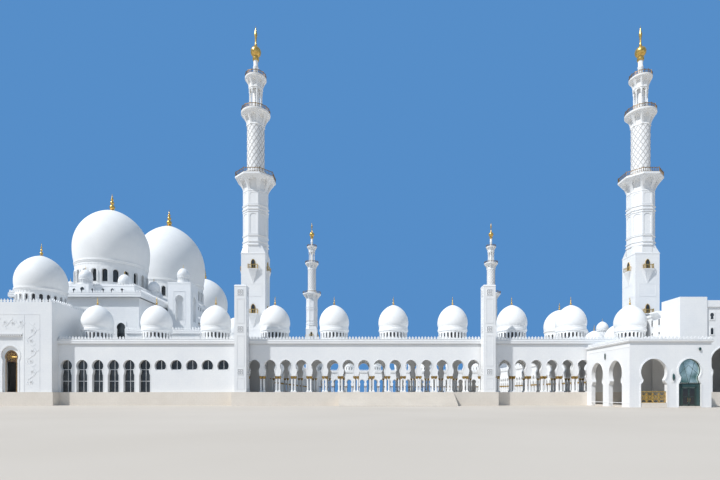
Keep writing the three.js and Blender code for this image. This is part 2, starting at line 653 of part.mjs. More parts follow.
// Portal: a tall block with a recessed cornice frame, a pointed arch and a doorway
function portal(side) {
  const vRange = ordered(side * PORTAL_FRONT_V, side * (HALL_HALF_V + OVERHANG + SEAT));
  const shell = openBox(PORTAL_U, vRange, [FLOOR + SEAT, PORTAL_TOP], HALL_WALL, 1);
  const frontV = side * PORTAL_FRONT_V;
  const depth = (from, to) => ordered(frontV - side * from, frontV - side * to);
  const recess = block([PORTAL_AXIS_U - PORTAL_RECESS_HALF, PORTAL_AXIS_U + PORTAL_RECESS_HALF],
    depth(-1, PORTAL_RECESS_DEPTH), [FLOOR - 1, PORTAL_RECESS_TOP]);
  const arch = panelAlongU(archOutline(PORTAL_AXIS_U, FLOOR - 1, PORTAL_ARCH), depth(-1, PORTAL_ARCH_DEPTH));
  const doorway = panelAlongU(archOutline(PORTAL_AXIS_U, FLOOR - 1, PORTAL_DOORWAY), depth(-1, 2));
  const rim = parapetRoof(PORTAL_U, vRange, [PORTAL_TOP - 0.5, PORTAL_TOP, PORTAL_TOP + 0.9]);
  return cut(shell, [recess, arch, doorway, portalPassage(side)]).add(rim);
}

// Dome over each entrance, hollow, on a round drum
function entranceDome(centre, radius) {
  const ring = 31.2;
  const apex = 40.9;
  const tip = 44.5;
  const baseZ = PORTAL_TOP + SEAT;
  const drum = 0.95 * radius;
  const shell = 0.5;
  return turned([
    [0, tip], [0.06 * radius, apex - 0.01 * radius], ...domeCurve(radius, ring, apex, 1, 5).reverse(),
    [radius, ring], [radius, ring - 0.9], [drum, ring - 0.9], [drum, baseZ],
    [drum - shell, baseZ], ...domeCurve(radius - shell, ring, apex - shell, 1, 4), [0, apex - shell],
  ], 10, centre);
}

// Raised block over the middle bay of the east arcade, under the east entrance's dome
function eastCrossing() {
  const uRange = [DOME_LINE_U - CROSSING_HALF, DOME_LINE_U + CROSSING_HALF];
  const vRange = [-CROSSING_HALF, CROSSING_HALF];
  const shell = openBox(uRange, vRange, [CORNICE_TOP + SEAT, PORTAL_TOP], HALL_WALL, 1);
  return shell.add(parapetRoof(uRange, vRange, [PORTAL_TOP - 0.5, PORTAL_TOP, PORTAL_TOP + 0.9]));
}

// Gatehouse at each east corner
function gatehouse(side) {
  const vRange = ordered(side * GATEHOUSE_FRONT_V, side * GATEHOUSE_BACK_V);
  const shell = openBox(GATEHOUSE_U, vRange, [FLOOR + SEAT, GATEHOUSE_ROOF], HALL_WALL, 1);
  const screen = ringWalls(GATEHOUSE_U, ordered(side * GATEHOUSE_FRONT_V, side * GATEHOUSE_SCREEN_V),
    [GATEHOUSE_ROOF - 0.5, GATEHOUSE_TOP], HALL_WALL);
  const middleU = (GATEHOUSE_U[0] + GATEHOUSE_U[1]) / 2;
  const frontV = side * GATEHOUSE_FRONT_V;
  const through = (from, to) => ordered(frontV - side * from, frontV - side * to);
  const recessU = [middleU - GATEHOUSE_RECESS_HALF, middleU + GATEHOUSE_RECESS_HALF];
  const recess = block(recessU, through(-1, 0.5), [FLOOR - 1, GATEHOUSE_RECESS_TOP]);
  const notch = block(recessU, through(-1, 0.2), [FLOOR, GATEHOUSE_TOP + 1]);
  const lowered = block(recessU, through(-1, 3), [GATEHOUSE_TOP - 0.8, GATEHOUSE_TOP + 1]);
  const arch = panelAlongU(archOutline(middleU, FLOOR - 1, GATEHOUSE_ARCH), through(-1, 3));
  const backArch = panelAlongU(archOutline(middleU, FLOOR - 1, COURT_ARCH),
    ordered(side * (GATEHOUSE_BACK_V - 1), side * (GATEHOUSE_BACK_V + 2)));
  const eavesV = ordered(side * GATEHOUSE_EAVES_V, side * GATEHOUSE_SCREEN_V);
  const eaves = block(inset(GATEHOUSE_U, -GATEHOUSE_EAVES), eavesV,
    [GATEHOUSE_ROOF - 0.7, GATEHOUSE_ROOF + 0.6]);
  return cut(join([shell, screen, eaves]), [recess, notch, lowered, arch, backArch]);
}

// East gate: a block with a passage, and a turret on each side
function eastGate() {
  const uRange = [OUTER_U + WALL_THICK / 2 + OVERHANG + SEAT, GATE_EAST_U];
  const vRange = [-GATE_HALF_V, GATE_HALF_V];
  const shell = openBox(uRange, vRange, [FLOOR + SEAT, GATE_TOP], HALL_WALL, 1);
  const passage = panelAlongV(archOutline(0, FLOOR - 1, GATE_PASSAGE), [uRange[0] - 1, uRange[1] + 1]);
  const rim = parapetRoof(uRange, vRange, [GATE_TOP - 0.5, GATE_TOP, GATE_TOP + 0.9]);
  const middleU = (uRange[0] + uRange[1]) / 2;
  const turrets = [-GATE_TURRET_V, GATE_TURRET_V]
    .map((v) => turret([middleU, v], GATE_TOP - 0.1, GATE_TURRET_APEX, GATE_TURRET_RADIUS));
  return join([shell.subtract(passage), rim, ...turrets]);
}

// Wings: low blocks with horseshoe arches that stand on the ground in front of the arcade
const WING_U = [WING_WEST_U, WING_EAST_U];
const WING_WEST_ARCHES_V = [-107.9, -99.5];

function wingWalls(side) {
  const back = OUTER_V + WALL_THICK / 2 + OVERHANG + SEAT;
  const vRange = ordered(side * WING_FRONT_V, side * back);
  const inside = block(inset(WING_U, WING_WALL),
    ordered(side * (WING_FRONT_V - WING_WALL), side * (back - 1)), [-1, WING_TOP + 1]);
  const walls = block(WING_U, vRange, [0, WING_TOP]).subtract(inside);
  const front = ordered(side * (WING_FRONT_V + 1), side * (WING_FRONT_V - WING_WALL - 0.5));
  const frontArches = [[SCREEN_U, WIDE_WING_ARCH], [DOOR_U, WING_ARCH]]
    .map(([u, style]) => panelAlongU(archOutline(u, -1, style), front));
  const westWall = [WING_U[0] - 1, WING_U[0] + WING_WALL + 0.5];
  const sideArches = WING_WEST_ARCHES_V
    .map((v) => panelAlongV(archOutline(-side * v, -1, WIDE_WING_ARCH), westWall));
  return cut(walls, [...frontArches, ...sideArches]);
}

function wingRoof(side) {
  const back = OUTER_V + WALL_THICK / 2 + OVERHANG + SEAT;
  const vRange = ordered(side * (WING_FRONT_V + OVERHANG), side * back);
  return parapetRoof(inset(WING_U, -OVERHANG), vRange, [WING_TOP + SEAT, WING_CORNICE_TOP, WING_PARAPET_TOP]);
}

function wingFloor() {
  const slab = block(inset(WING_U, WING_WALL + SEAT),
    [-WING_FRONT_V + WING_WALL + SEAT, -OUTER_V - WALL_THICK / 2 - SEAT], [0, WING_FLOOR]);
  const front = [-WING_FRONT_V, -WING_FRONT_V + WING_WALL + 0.5];
  const doorSill = block([DOOR_U - DOOR_SILL_HALF, DOOR_U + DOOR_SILL_HALF], front, [0, WING_FLOOR]);
  const plinth = block([SCREEN_U - SCREEN_HALF, SCREEN_U + SCREEN_HALF], front, [0, 1]);
  return join([slab, doorSill, plinth]);
}

function wingScreen() {
  return block([SCREEN_U - SCREEN_HALF, SCREEN_U + SCREEN_HALF],
    [-WING_FRONT_V + WING_WALL / 2 - 0.1, -WING_FRONT_V + WING_WALL / 2 + 0.1], [1 + SEAT, 3.55]);
}

// Door frame: dark glazing that fills the arch and leaves the doorway open
const DOOR_FRAME_V = [-WING_FRONT_V + 0.3, -WING_FRONT_V + 0.55];
const DOORWAY_HALF = DOOR_LEAF_WIDTH + 1.5 * DOOR_GAP;

function doorFrame() {
  const shrink = SEAT * 2;
  const arch = {
    side: WING_ARCH.side.map(([half, z]) => [half - shrink, z]),
    crown: WING_ARCH.crown - shrink * 2,
  };
  const pane = panelAlongU(archOutline(DOOR_U, WING_FLOOR + SEAT, arch), DOOR_FRAME_V);
  const opening = block([DOOR_U - DOORWAY_HALF, DOOR_U + DOORWAY_HALF],
    [DOOR_FRAME_V[0] - 1, DOOR_FRAME_V[1] + 1], [0, DOOR_LEAF_TOP + DOOR_GAP]);
  return pane.subtract(opening);
}

// A door leaf swings outward about its outer corner, on pivots at the sill and at the head of the frame
const DOOR_AXIS_V = DOOR_FRAME_V[0] + DOOR_PIVOT_RADIUS + SEAT;

function doorLeaf(side) {
  const hingeU = DOOR_U + side * (DOORWAY_HALF - DOOR_GAP);
  const freeU = DOOR_U + side * DOOR_GAP / 2;
  const panel = block(ordered(hingeU, freeU),
    [DOOR_AXIS_V, DOOR_AXIS_V + DOOR_LEAF_THICK], [WING_FLOOR + DOOR_GAP, DOOR_LEAF_TOP]);
  const pivot = (low, high) => turned([
    [0, low], [DOOR_PIVOT_RADIUS, low], [DOOR_PIVOT_RADIUS, high], [0, high],
  ], 10, [hingeU, DOOR_AXIS_V]);
  return join([
    panel,
    pivot(WING_FLOOR + SEAT, WING_FLOOR + 2 * DOOR_GAP),
    pivot(DOOR_LEAF_TOP - DOOR_GAP, DOOR_LEAF_TOP + DOOR_GAP - SEAT),
  ]);
}

// Pylons: square posts of stone in front of the arcade, with three square ornaments on the front
function pylon(u, side) {
  const v = side * PYLON_V;
  const shaft = turnedFlatSided([
    [0, FLOOR + SEAT], [PYLON_HALF, FLOOR + SEAT], [PYLON_HALF, PYLON_TOP - 0.3],
    [PYLON_HALF - 0.1, PYLON_TOP], [0, PYLON_TOP],
  ], 4, [u, v]);
  const frontV = v + side * PYLON_HALF;
  const ornaments = [8.5, 19.3, 29.2].map((z) => block([u - 0.6, u + 0.6],
    ordered(frontV - side * 0.15, frontV + side * 1), [z - 0.6, z + 0.6]));
  return cut(shaft, ornaments);
}

// Minaret, drawn about its own axis: a square base, an eight-sided shaft and three balconies
const BALCONY_FLOOR = 64.7;
const CROWN_SIDES = 12;
const LOW_LEDGE = { floor: 25.4, corbel: 4 };
const SHORT_LEDGE = { floor: 25.4, corbel: 0.8 };
const HIGH_LEDGE = { floor: 38, corbel: 4 };

function ledge([du, dv], { floor, corbel }) {
  return turnedFlatSided([
    [0, floor - corbel], [0.2, floor - corbel], [0.8, floor], [0.8, floor + 1.1], [0, floor + 1.1],
  ], 4, [du * MINARET_HALF, dv * MINARET_HALF]);
}

// On the side nearGatehouse, -1 south or 1 north, a gatehouse roof leaves room for a short ledge only
function minaretTower(nearGatehouse) {
  const base = turnedFlatSided([
    [0, FLOOR + SEAT], [MINARET_HALF, FLOOR + SEAT], [MINARET_HALF, 42.8], [3.3, 43.5], [0, 43.5],
  ], 4, [0, 0]);
  const shaft = turnedFlatSided([
    [0, 43], [3.35, 43], [3.35, 46], [3.55, 46], [3.55, 47.2], [3.3, 47.4], [3.3, 55.8], [3.5, 56], [3.5, 57],
    [3.3, 57.2], [3.3, BALCONY_FLOOR - 4.5], [5.3, BALCONY_FLOOR - 0.8], [5.4, BALCONY_FLOOR - 0.8],
    [5.4, BALCONY_FLOOR + 1.2], [5.2, BALCONY_FLOOR + 1.2], [5.2, BALCONY_FLOOR], [0, BALCONY_FLOOR],
  ], 8, [0, 0]);
  const lowLedge = (side) => (side[1] === nearGatehouse ? SHORT_LEDGE : LOW_LEDGE);
  const ledges = [[1, 0], [-1, 0], [0, 1], [0, -1]]
    .flatMap((side) => [ledge(side, lowLedge(side)), ledge(side, HIGH_LEDGE)]);
  return join([base, shaft, ...ledges]);
}

const LANTERN_COLUMNS = 8;

function minaretCrown() {
  const shaft = turned([
    [0, BALCONY_FLOOR + SEAT], [2.5, BALCONY_FLOOR + SEAT], [2.5, 79.6], [3.8, 83], [4.15, 83], [4.15, 84.6],
    [3.95, 84.6], [3.95, 83.6], [1.1, 83.6], [1.1, 89.6], [1.9, 90.2], [2.9, 93.2], [3.1, 94.7], [2.95, 94.7],
    [2.95, 93.8], [0.8, 93.8], [0.75, 99.6], [1.6, 101], [1.6, 101.9], [0.5, 103.4], [0.3, 105.4],
    [0.45, 106], [0, 109.2],
  ], CROWN_SIDES, [0, 0], Math.PI / CROWN_SIDES);
  const columns = [];
  for (let i = 0; i < LANTERN_COLUMNS; i += 1) {
    const angle = ((i + 0.5) * 2 * Math.PI) / LANTERN_COLUMNS;
    const centre = [1.75 * Math.cos(angle), 1.75 * Math.sin(angle)];
    columns.push(turned([[0, 83.4], [0.2, 83.4], [0.2, 90.4], [0, 90.4]], 4, centre, angle));
  }
  return join([shaft, ...columns]);
}

// Assembly
addNode('podium', podium(), STONE());

addNode('south_wall_west', southWallWest(), MARBLE());
addNode('south_window_glass', southWindowGlass(), GLASS());
addNode('south_wall_east', southWallEast(), MARBLE());
addNode('south_court_wall', courtWallAlongU(-1), MARBLE());
addNode('south_roof', roofAlongU(-1), MARBLE());
addNode('north_wall', northWall(), MARBLE());
addNode('north_court_wall', courtWallAlongU(1), MARBLE());
addNode('north_roof', roofAlongU(1), MARBLE());

const COURT_END_V = MINARET_V - MINARET_HALF - SEAT;
addNode('east_wall', wallAlongV(OUTER_U, GATEHOUSE_BACK_V - SEAT, SIDE_ARCH), MARBLE());
addNode('east_court_wall', wallAlongV(COURT_HALF_U, COURT_END_V, COURT_ARCH), MARBLE());
addNode('east_roof', roofAlongV([COURT_HALF_U - ROOF_EDGE, OUTER_U + ROOF_EDGE], GATEHOUSE_BACK_V - SEAT,
  DOME_LINE_U, 1, [0]), MARBLE());
addNode('east_crossing', eastCrossing(), MARBLE());
addNode('east_dome', entranceDome([DOME_LINE_U, 0], EAST_DOME_RADIUS), MARBLE());
addNode('west_court_wall', wallAlongV(-COURT_HALF_U, COURT_END_V, COURT_ARCH), MARBLE());
addNode('west_roof', roofAlongV([HALL_EAST_U + OVERHANG + SEAT, -COURT_HALF_U + ROOF_EDGE],
  COURT_HALF_V - ROOF_EDGE - SEAT, -DOME_LINE_U, -1), MARBLE());

addNode('hall_walls', hallWalls(), MARBLE());
addNode('hall_roof', hallRoof(), MARBLE());
addNode('hall_upper_walls', upperWalls(), MARBLE());
addNode('hall_upper_roof', upperRoof(), MARBLE());
GREAT_DOMES.forEach((dome) => addNode(`${dome.name}_great_dome`, greatDome(dome), MARBLE()));

for (const [label, side] of [['south', -1], ['north', 1]]) {
  addNode(`${label}_far_gallery`, farGallery(side), MARBLE());
  addNode(`${label}_portal`, portal(side), MARBLE());
  addNode(`${label}_portal_dome`,
    entranceDome([PORTAL_DOME_U, side * PORTAL_DOME_V], PORTAL_DOME_RADIUS), MARBLE());
  addNode(`${label}_hall_tower`, tower(side), MARBLE());
  addNode(`${label}_gatehouse`, gatehouse(side), MARBLE());
  addNode(`${label}_wing_walls`, wingWalls(side), MARBLE());
  addNode(`${label}_wing_roof`, wingRoof(side), MARBLE());
  for (const [end, pylonU] of [['west', PYLON_PLACES_U[0]], ['east', PYLON_PLACES_U[1]]]) {
    addNode(`${label}_${end}_pylon`, pylon(pylonU, side), MARBLE());
    const corner = new THREE.Group();
    const sideU = end === 'west' ? -1 : 1;
    corner.position.set(sideU * MINARET_U, side * MINARET_V, 0).multiplyScalar(MODEL_MM_PER_REAL_METRE);
    addNode(`${label}_${end}_minaret_tower`, minaretTower(end === 'east' ? side : null), MARBLE(), corner);
    addNode(`${label}_${end}_minaret_crown`, minaretCrown(), MARBLE(), corner);
    building.add(corner);
  }
}

addNode('east_gate', eastGate(), MARBLE());
addNode('wing_floor', wingFloor(), STONE());
addNode('wing_screen', wingScreen(), GOLD());
addNode('wing_door_frame', doorFrame(), GLASS());
addNode('wing_door_west', doorLeaf(-1), GLASS());
addNode('wing_door_east', doorLeaf(1), GLASS());

building.position.x = -PLAN_CENTRE_U * MODEL_MM_PER_REAL_METRE;

export default building;
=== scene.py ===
"""Looks of the white marble mosque: fine stonework, gilding, glazing, light and camera on the fixed frame.

Sizes are real metres. U runs east, V runs north, Z is height. to_model turns them into the model's frame.
"""

import math

import bmesh
import bpy
import mathutils
import numpy as np
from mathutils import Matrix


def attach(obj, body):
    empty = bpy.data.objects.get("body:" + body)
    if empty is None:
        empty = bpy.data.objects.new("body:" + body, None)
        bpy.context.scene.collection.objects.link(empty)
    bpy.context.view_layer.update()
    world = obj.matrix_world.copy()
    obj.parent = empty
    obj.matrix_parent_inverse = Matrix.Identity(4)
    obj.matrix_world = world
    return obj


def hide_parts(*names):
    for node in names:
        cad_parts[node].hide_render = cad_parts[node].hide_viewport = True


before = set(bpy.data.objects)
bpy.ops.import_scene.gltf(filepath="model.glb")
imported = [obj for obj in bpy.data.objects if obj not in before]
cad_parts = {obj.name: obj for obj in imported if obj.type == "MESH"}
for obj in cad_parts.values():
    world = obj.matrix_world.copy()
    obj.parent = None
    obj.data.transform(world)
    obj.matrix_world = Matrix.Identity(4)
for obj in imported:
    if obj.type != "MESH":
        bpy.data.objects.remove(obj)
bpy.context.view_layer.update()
BODY = "building"

# Scale and plan: the model is one tenth of the real building
MODEL_SCALE = 0.1
HALL_AXIS_U = -112.2
HALL_HALF_U = 40.3
HALL_HALF_V = 79.0
GATE_EAST_U = 87.0
PLAN_CENTRE_U = (HALL_AXIS_U - HALL_HALF_U + GATE_EAST_U) / 2

# Grid and levels
SEAT = 0.003
BAY = 16.25
ARCH_PITCH = BAY / 4
HALF_PITCH = ARCH_PITCH / 2
FLOOR = 3.4
LOW = FLOOR + SEAT
IMPOST = 7.75
ARCADE_TOP = 15.9
CORNICE_TOP = 16.65
PARAPET_TOP = 17.15
HALL_TOP = 20.2
HALL_CORNICE_TOP = 21.0
UPPER_TOP = 32.3
UPPER_CORNICE_TOP = 33.3

# Arcades
WALL_THICK = 1.1
WALL_V = (-WALL_THICK / 2, WALL_THICK / 2)
BLOCK_WALL = 1.2
OVERHANG = 0.4
COURT_HALF_U = 58.1
COURT_HALF_V = 79.2
ARCADE_DEPTH = 13.8
OUTER_U = COURT_HALF_U + ARCADE_DEPTH
OUTER_V = COURT_HALF_V + ARCADE_DEPTH
DOME_LINE_U = COURT_HALF_U + ARCADE_DEPTH / 2
DOME_LINE_V = COURT_HALF_V + ARCADE_DEPTH / 2

SMOOTH_ANGLE = math.radians(32)
QUARTER = math.pi / 2
BOTH = (-1, 1)


# Shapes are pairs of an array of points and a list of faces


def shape(points, faces):
    return np.array(points, float).reshape(-1, 3), [tuple(face) for face in faces]


def merge(parts):
    points, faces, start = [], [], 0
    for part_points, part_faces in parts:
        points.append(part_points)
        faces += [tuple(i + start for i in face) for face in part_faces]
        start += len(part_points)
    return np.concatenate(points), faces


def gathered(*groups):
    """Groups such as stone and glass, merged kind by kind."""
    return [merge(parts) for parts in zip(*groups)]


def moved(part, u=0.0, v=0.0, z=0.0):
    return part[0] + np.array([u, v, z]), part[1]


def all_moved(parts, u=0.0, v=0.0):
    return [moved(part, u, v) for part in parts]


def stretched(part, u=1.0, v=1.0):
    return part[0] * np.array([u, v, 1]), part[1]


def turned(part, angle=QUARTER):
    c, s = math.cos(angle), math.sin(angle)
    return part[0] @ np.array([[c, s, 0], [-s, c, 0], [0, 0, 1]]), part[1]


def stood_up(part):
    """A flat part tipped from z = 0 up onto v = 0."""
    return part[0] @ np.array([[1, 0, 0], [0, 0, 1], [0, -1, 0]]), part[1]


def mirrored(part, axis=1):
    flip = np.ones(3)
    flip[axis] = -1
    return part[0] * flip, [face[::-1] for face in part[1]]


def copies_round(part, count, start=0.0):
    return merge([turned(part, start + 2 * math.pi * i / count) for i in range(count)])


def to_each_side(part, half, count=4):
    """A part made on v = 0, put on every side of a post that is half deep."""
    return copies_round(moved(part, v=-half), count)


def copies_at(part, places):
    return merge([moved(part, *place) for place in places])


def in_row(part, places):
    return copies_at(part, [(place,) for place in places])


def ordered(a, b):
    return (a, b) if a < b else (b, a)


def about(middle, half):
    return middle - half, middle + half


def grown(span, by):
    return span[0] - by, span[1] + by


def box(u, v, z):
    points = [(a, b, c) for c in z for b in v for a in u]
    return shape(points, [(0, 2, 3, 1), (4, 5, 7, 6), (0, 1, 5, 4), (2, 6, 7, 3), (0, 4, 6, 2), (1, 3, 7, 5)])


def twin_boxes(near, far, v, z):
    return merge([box(ordered(side * near, side * far), v, z) for side in BOTH])


def loft(low, high):
    """A closed body between two outlines of the same count."""
    count = len(low)
    sides = [(i, (i + 1) % count, count + (i + 1) % count, count + i) for i in range(count)]
    return shape([*low, *high], [tuple(range(count))[::-1], tuple(range(count, 2 * count))] + sides)


def prism(outline, low, high):
    """An outline of pairs u and z, pushed along v from low to high."""
    return loft(*[[(x, v, z) for x, z in outline] for v in (low, high)])


def stepped(*stages):
    """A profile from stages, each a radius or half width and the heights at which it stays the same."""
    return [(width, z) for width, *heights in stages for z in heights]


def sheet(rows, ring_of_rows=False, closed_rows=False):
    """A skin over rows of points of one count, closed on itself where asked."""
    count, wide = len(rows), len(rows[0])
    faces = []
    for i in range(count if ring_of_rows else count - 1):
        a, b = i * wide, (i + 1) % count * wide
        for k in range(wide if closed_rows else wide - 1):
            n = (k + 1) % wide
            faces.append((a + k, a + n, b + n, b + k))
    return shape(rows, faces)


def circle(sides, twist=0.0):
    angles = [twist + 2 * math.pi * i / sides for i in range(sides)]
    return [(math.cos(angle), math.sin(angle)) for angle in angles]


def lathe(profile, sides, twist=0.0, ends="axis"):
    """A turned body from pairs of radius and height. Its ends run to the axis, join up, or stay open."""
    if ends == "axis":
        (first, low_z), (last, high_z) = profile[0], profile[-1]
        profile = [(0, low_z)] * (first > 0) + profile + [(0, high_z)] * (last > 0)
    points, rings = [], []
    for radius, height in profile:
        ring = circle(sides, twist) if radius > 1e-9 else [(0, 0)]
        rings.append(range(len(points), len(points) + len(ring)))
        points += [(radius * x, radius * y, height) for x, y in ring]
    if ends == "joined":
        rings.append(rings[0])
    faces = []
    for low, high in zip(rings, rings[1:]):
        for i in range(sides):
            j = (i + 1) % sides
            corners = (low[i % len(low)], low[j % len(low)], high[j % len(high)], high[i % len(high)])
            face = tuple(dict.fromkeys(corners))
            if len(face) > 2:
                faces.append(face)
    return shape(points, faces)


def flat_sided(profile, sides):
    """A turned body with a flat side to each front, from pairs of half width and height."""
    grow = 1 / math.cos(math.pi / sides)
    return lathe([(half * grow, z) for half, z in profile], sides, math.pi / sides)


def square_hoop(inner, outer, half, sides):
    """A ring with a square section, stood up on v = 0."""
    section = [(inner, -half), (outer, -half), (outer, half), (inner, half)]
    return stood_up(lathe(section, sides, ends="joined"))


def rod(start, end, radius, sides=6):
    start, end = np.array(start, float), np.array(end, float)
    along = (end - start) / np.linalg.norm(end - start)
    side = np.cross(along, (0, 0, 1) if abs(along[2]) < 0.9 else (1, 0, 0))
    side /= np.linalg.norm(side)
    other = np.cross(along, side)
    ring = [radius * (x * side + y * other) for x, y in circle(sides)]
    return loft(*[[centre + spoke for spoke in ring] for centre in (start, end)])


def welded(part, grain=1e-4):
    """Shared corners become one, and two faces back to back between neighbours go."""
    points, faces = part
    _, first, index = np.unique(np.round(points / grain).astype(np.int64), axis=0, return_index=True,
                                return_inverse=True)
    index = index.reshape(-1)
    kept = {}
    for face in faces:
        loop = [int(index[i]) for i in face]
        loop = tuple(a for a, b in zip(loop, loop[1:] + loop[:1]) if a != b)
        key = frozenset(loop)
        if len(key) < 3:
            continue
        if key in kept:
            del kept[key]
        else:
            kept[key] = loop
    return points[first], list(kept.values())


def to_model(points):
    return (points - np.array([PLAN_CENTRE_U, 0, 0])) * MODEL_SCALE


def link(obj):
    bpy.context.scene.collection.objects.link(obj)
    return obj


def piece(name, part, finish, node="", body=BODY):
    """A piece with its material. It stands for the solid called node where one is given."""
    points, faces = part
    material, slot = finish
    mesh = bpy.data.meshes.new(name)
    mesh.from_pydata(to_model(points).tolist(), [], faces)
    work = bmesh.new()
    work.from_mesh(mesh)
    bmesh.ops.recalc_face_normals(work, faces=work.faces)
    work.to_mesh(mesh)
    work.free()
    mesh.shade_smooth()
    mesh.set_sharp_from_angle(angle=SMOOTH_ANGLE)
    mesh.materials.append(material)
    obj = link(bpy.data.objects.new(name, mesh))
    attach(obj, body)
    if node:
        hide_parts(node)


def both_sides(name, south, finish, node=""):
    """One piece for the south side and its mirror image for the north side."""
    for label, part in (("south", south), ("north", mirrored(south))):
        piece(f"{label}_{name}", part, finish, node and f"{label}_{node}")


# Materials


class Nodes:
    """A material's node tree, with short calls to add and join nodes."""

    def __init__(self, name):
        self.material = bpy.data.materials.new(name)
        self.material.use_nodes = True
        self.tree = self.material.node_tree
        self.shader = self.tree.nodes["Principled BSDF"]
        self.place = self.add("ShaderNodeTexCoord").outputs["Object"]

    def add(self, kind, **values):
        node = self.tree.nodes.new(kind)
        for key, value in values.items():
            if key in node.inputs:
                node.inputs[key].default_value = value
            else:
                setattr(node, key, value)
        return node

    def set(self, socket, value):
        if isinstance(value, tuple):
            socket.default_value = (*value, 1)
        elif isinstance(value, (int, float)):
            socket.default_value = value
        else:
            self.tree.links.new(value, socket)

    def noise(self, **values):
        node = self.add("ShaderNodeTexNoise", **values)
        self.set(node.inputs["Vector"], self.place)
        return node.outputs["Fac"]

    def ramp(self, source, *stops):
        node = self.add("ShaderNodeValToRGB")
        elements = node.color_ramp.elements
        while len(elements) < len(stops):
            elements.new(0.5)
        for element, (place, color) in zip(elements, stops):
            element.position = place
            element.color = (*color, 1)
        self.set(node.inputs["Fac"], source)
        return node.outputs["Color"]

    def math(self, operation, a, b=0.0):
        node = self.add("ShaderNodeMath", operation=operation)
        for socket, value in zip(node.inputs, (a, b, 0.0)):
            self.set(socket, value)
        return node.outputs[0]

    def mix(self, factor, a, b):
        node = self.add("ShaderNodeMix", data_type="RGBA", blend_type="MIX")
        for index, value in ((0, factor), (6, a), (7, b)):
            self.set(node.inputs[index], value)
        return node.outputs[2]

    def joint_lines(self, course, width):
        """Dark lines between slabs: level courses and upright joints, every second course shifted by half."""
        apart = self.add("ShaderNodeSeparateXYZ")
        self.set(apart.inputs["Vector"], self.place)
        row = self.math("DIVIDE", apart.outputs["Z"], course)
        level = self.math("PINGPONG", row, 0.5)
        shift = self.math("MULTIPLY", self.math("MODULO", self.math("FLOOR", row), 2.0), 0.5)
        run = self.math("ADD", apart.outputs["X"], apart.outputs["Y"])
        upright = self.math("PINGPONG", self.math("ADD", self.math("DIVIDE", run, width), shift), 0.5)
        near = [self.math("LESS_THAN", lines, width) for lines, width in ((level, 0.012), (upright, 0.008))]
        return self.math("MAXIMUM", *near)

    def surface(self, color, grain, roughness, height, strength, distance):
        """The colour, a polish that follows the grain, and a fine relief."""
        self.set(self.shader.inputs["Base Color"], color)
        polish = self.add("ShaderNodeMapRange", **{"To Min": roughness[0], "To Max": roughness[1]})
        self.set(polish.inputs["Value"], grain)
        self.set(self.shader.inputs["Roughness"], polish.outputs["Result"])
        bump = self.add("ShaderNodeBump", Strength=strength, Distance=distance)
        self.set(bump.inputs["Height"], height)
        self.set(self.shader.inputs["Normal"], bump.outputs["Normal"])
        return self.material


BLACK, WHITE = (0, 0, 0), (1, 1, 1)
SLABS = (0.06, 0.12)


def darker(color, share):
    return tuple(share * c for c in color)


def stone(name, light, dark, slabs=(), roughness=(0.32, 0.5), joint_share=0.25, slot="marble"):
    nodes = Nodes(name)
    clouds = nodes.noise(Scale=1.7, Detail=6.0, Roughness=0.6)
    veins = nodes.noise(Scale=9.0, Detail=8.0, Roughness=0.65, Distortion=1.4)
    color = nodes.ramp(clouds, (0.3, dark), (0.7, light))
    thin = nodes.ramp(veins, (0.47, BLACK), (0.5, WHITE), (0.53, BLACK))
    color = nodes.mix(nodes.math("MULTIPLY", thin, 0.28), color, darker(dark, 0.9))
    height = nodes.math("MULTIPLY", veins, 0.15)
    if slabs:
        lines = nodes.joint_lines(*slabs)
        color = nodes.mix(nodes.math("MULTIPLY", lines, joint_share), color, darker(dark, 0.72))
        height = nodes.math("SUBTRACT", height, nodes.math("MULTIPLY", lines, 0.5))
    return nodes.surface(color, veins, roughness, height, 0.12, 0.01), slot


def gilding(name, dark, light):
    nodes = Nodes(name)
    grain = nodes.noise(Scale=26.0, Detail=5.0)
    nodes.shader.inputs["Metallic"].default_value = 0.85
    color = nodes.ramp(grain, (0.3, dark), (0.7, light))
    return nodes.surface(color, grain, (0.22, 0.42), grain, 0.15, 0.004), "gold"


def glazing(name, dark, light, metallic=0.0):
    nodes = Nodes(name)
    waves = nodes.noise(Scale=3.5, Detail=3.0)
    nodes.shader.inputs["Specular IOR Level"].default_value = 0.7
    nodes.shader.inputs["Metallic"].default_value = metallic
    color = nodes.ramp(waves, (0.35, dark), (0.65, light))
    return nodes.surface(color, waves, (0.05, 0.14), waves, 0.05, 0.01), "glass"


MARBLE = stone("marble_slabs", (0.87, 0.87, 0.86), (0.8, 0.81, 0.82), SLABS)
DOME_MARBLE = stone("dome_marble", (0.88, 0.875, 0.86), (0.82, 0.82, 0.81), roughness=(0.55, 0.68))
# Painted shade: a grey marble for the minarets' raised net, standing for the shadow in the grooves between
# its lozenges.
PAINTED_GROOVE_SHADE = stone("painted_groove_shade", (0.6, 0.585, 0.57), (0.52, 0.51, 0.5))
PALE_STONE = stone("pale_stone", (0.78, 0.72, 0.64), (0.7, 0.64, 0.56), SLABS, joint_share=0.45)
# A dark grey, darker than the marble, for the plates behind the pylons' carved squares.
SQUARE_GREY = stone("square_grey", (0.36, 0.36, 0.365), (0.27, 0.27, 0.28))
GOLD = gilding("gilding", (0.5, 0.3, 0.06), (0.86, 0.6, 0.2))
OLD_GOLD = gilding("old_gold", (0.32, 0.2, 0.05), (0.6, 0.41, 0.14))
BRONZE = gilding("bronze", (0.26, 0.15, 0.06), (0.5, 0.32, 0.15))
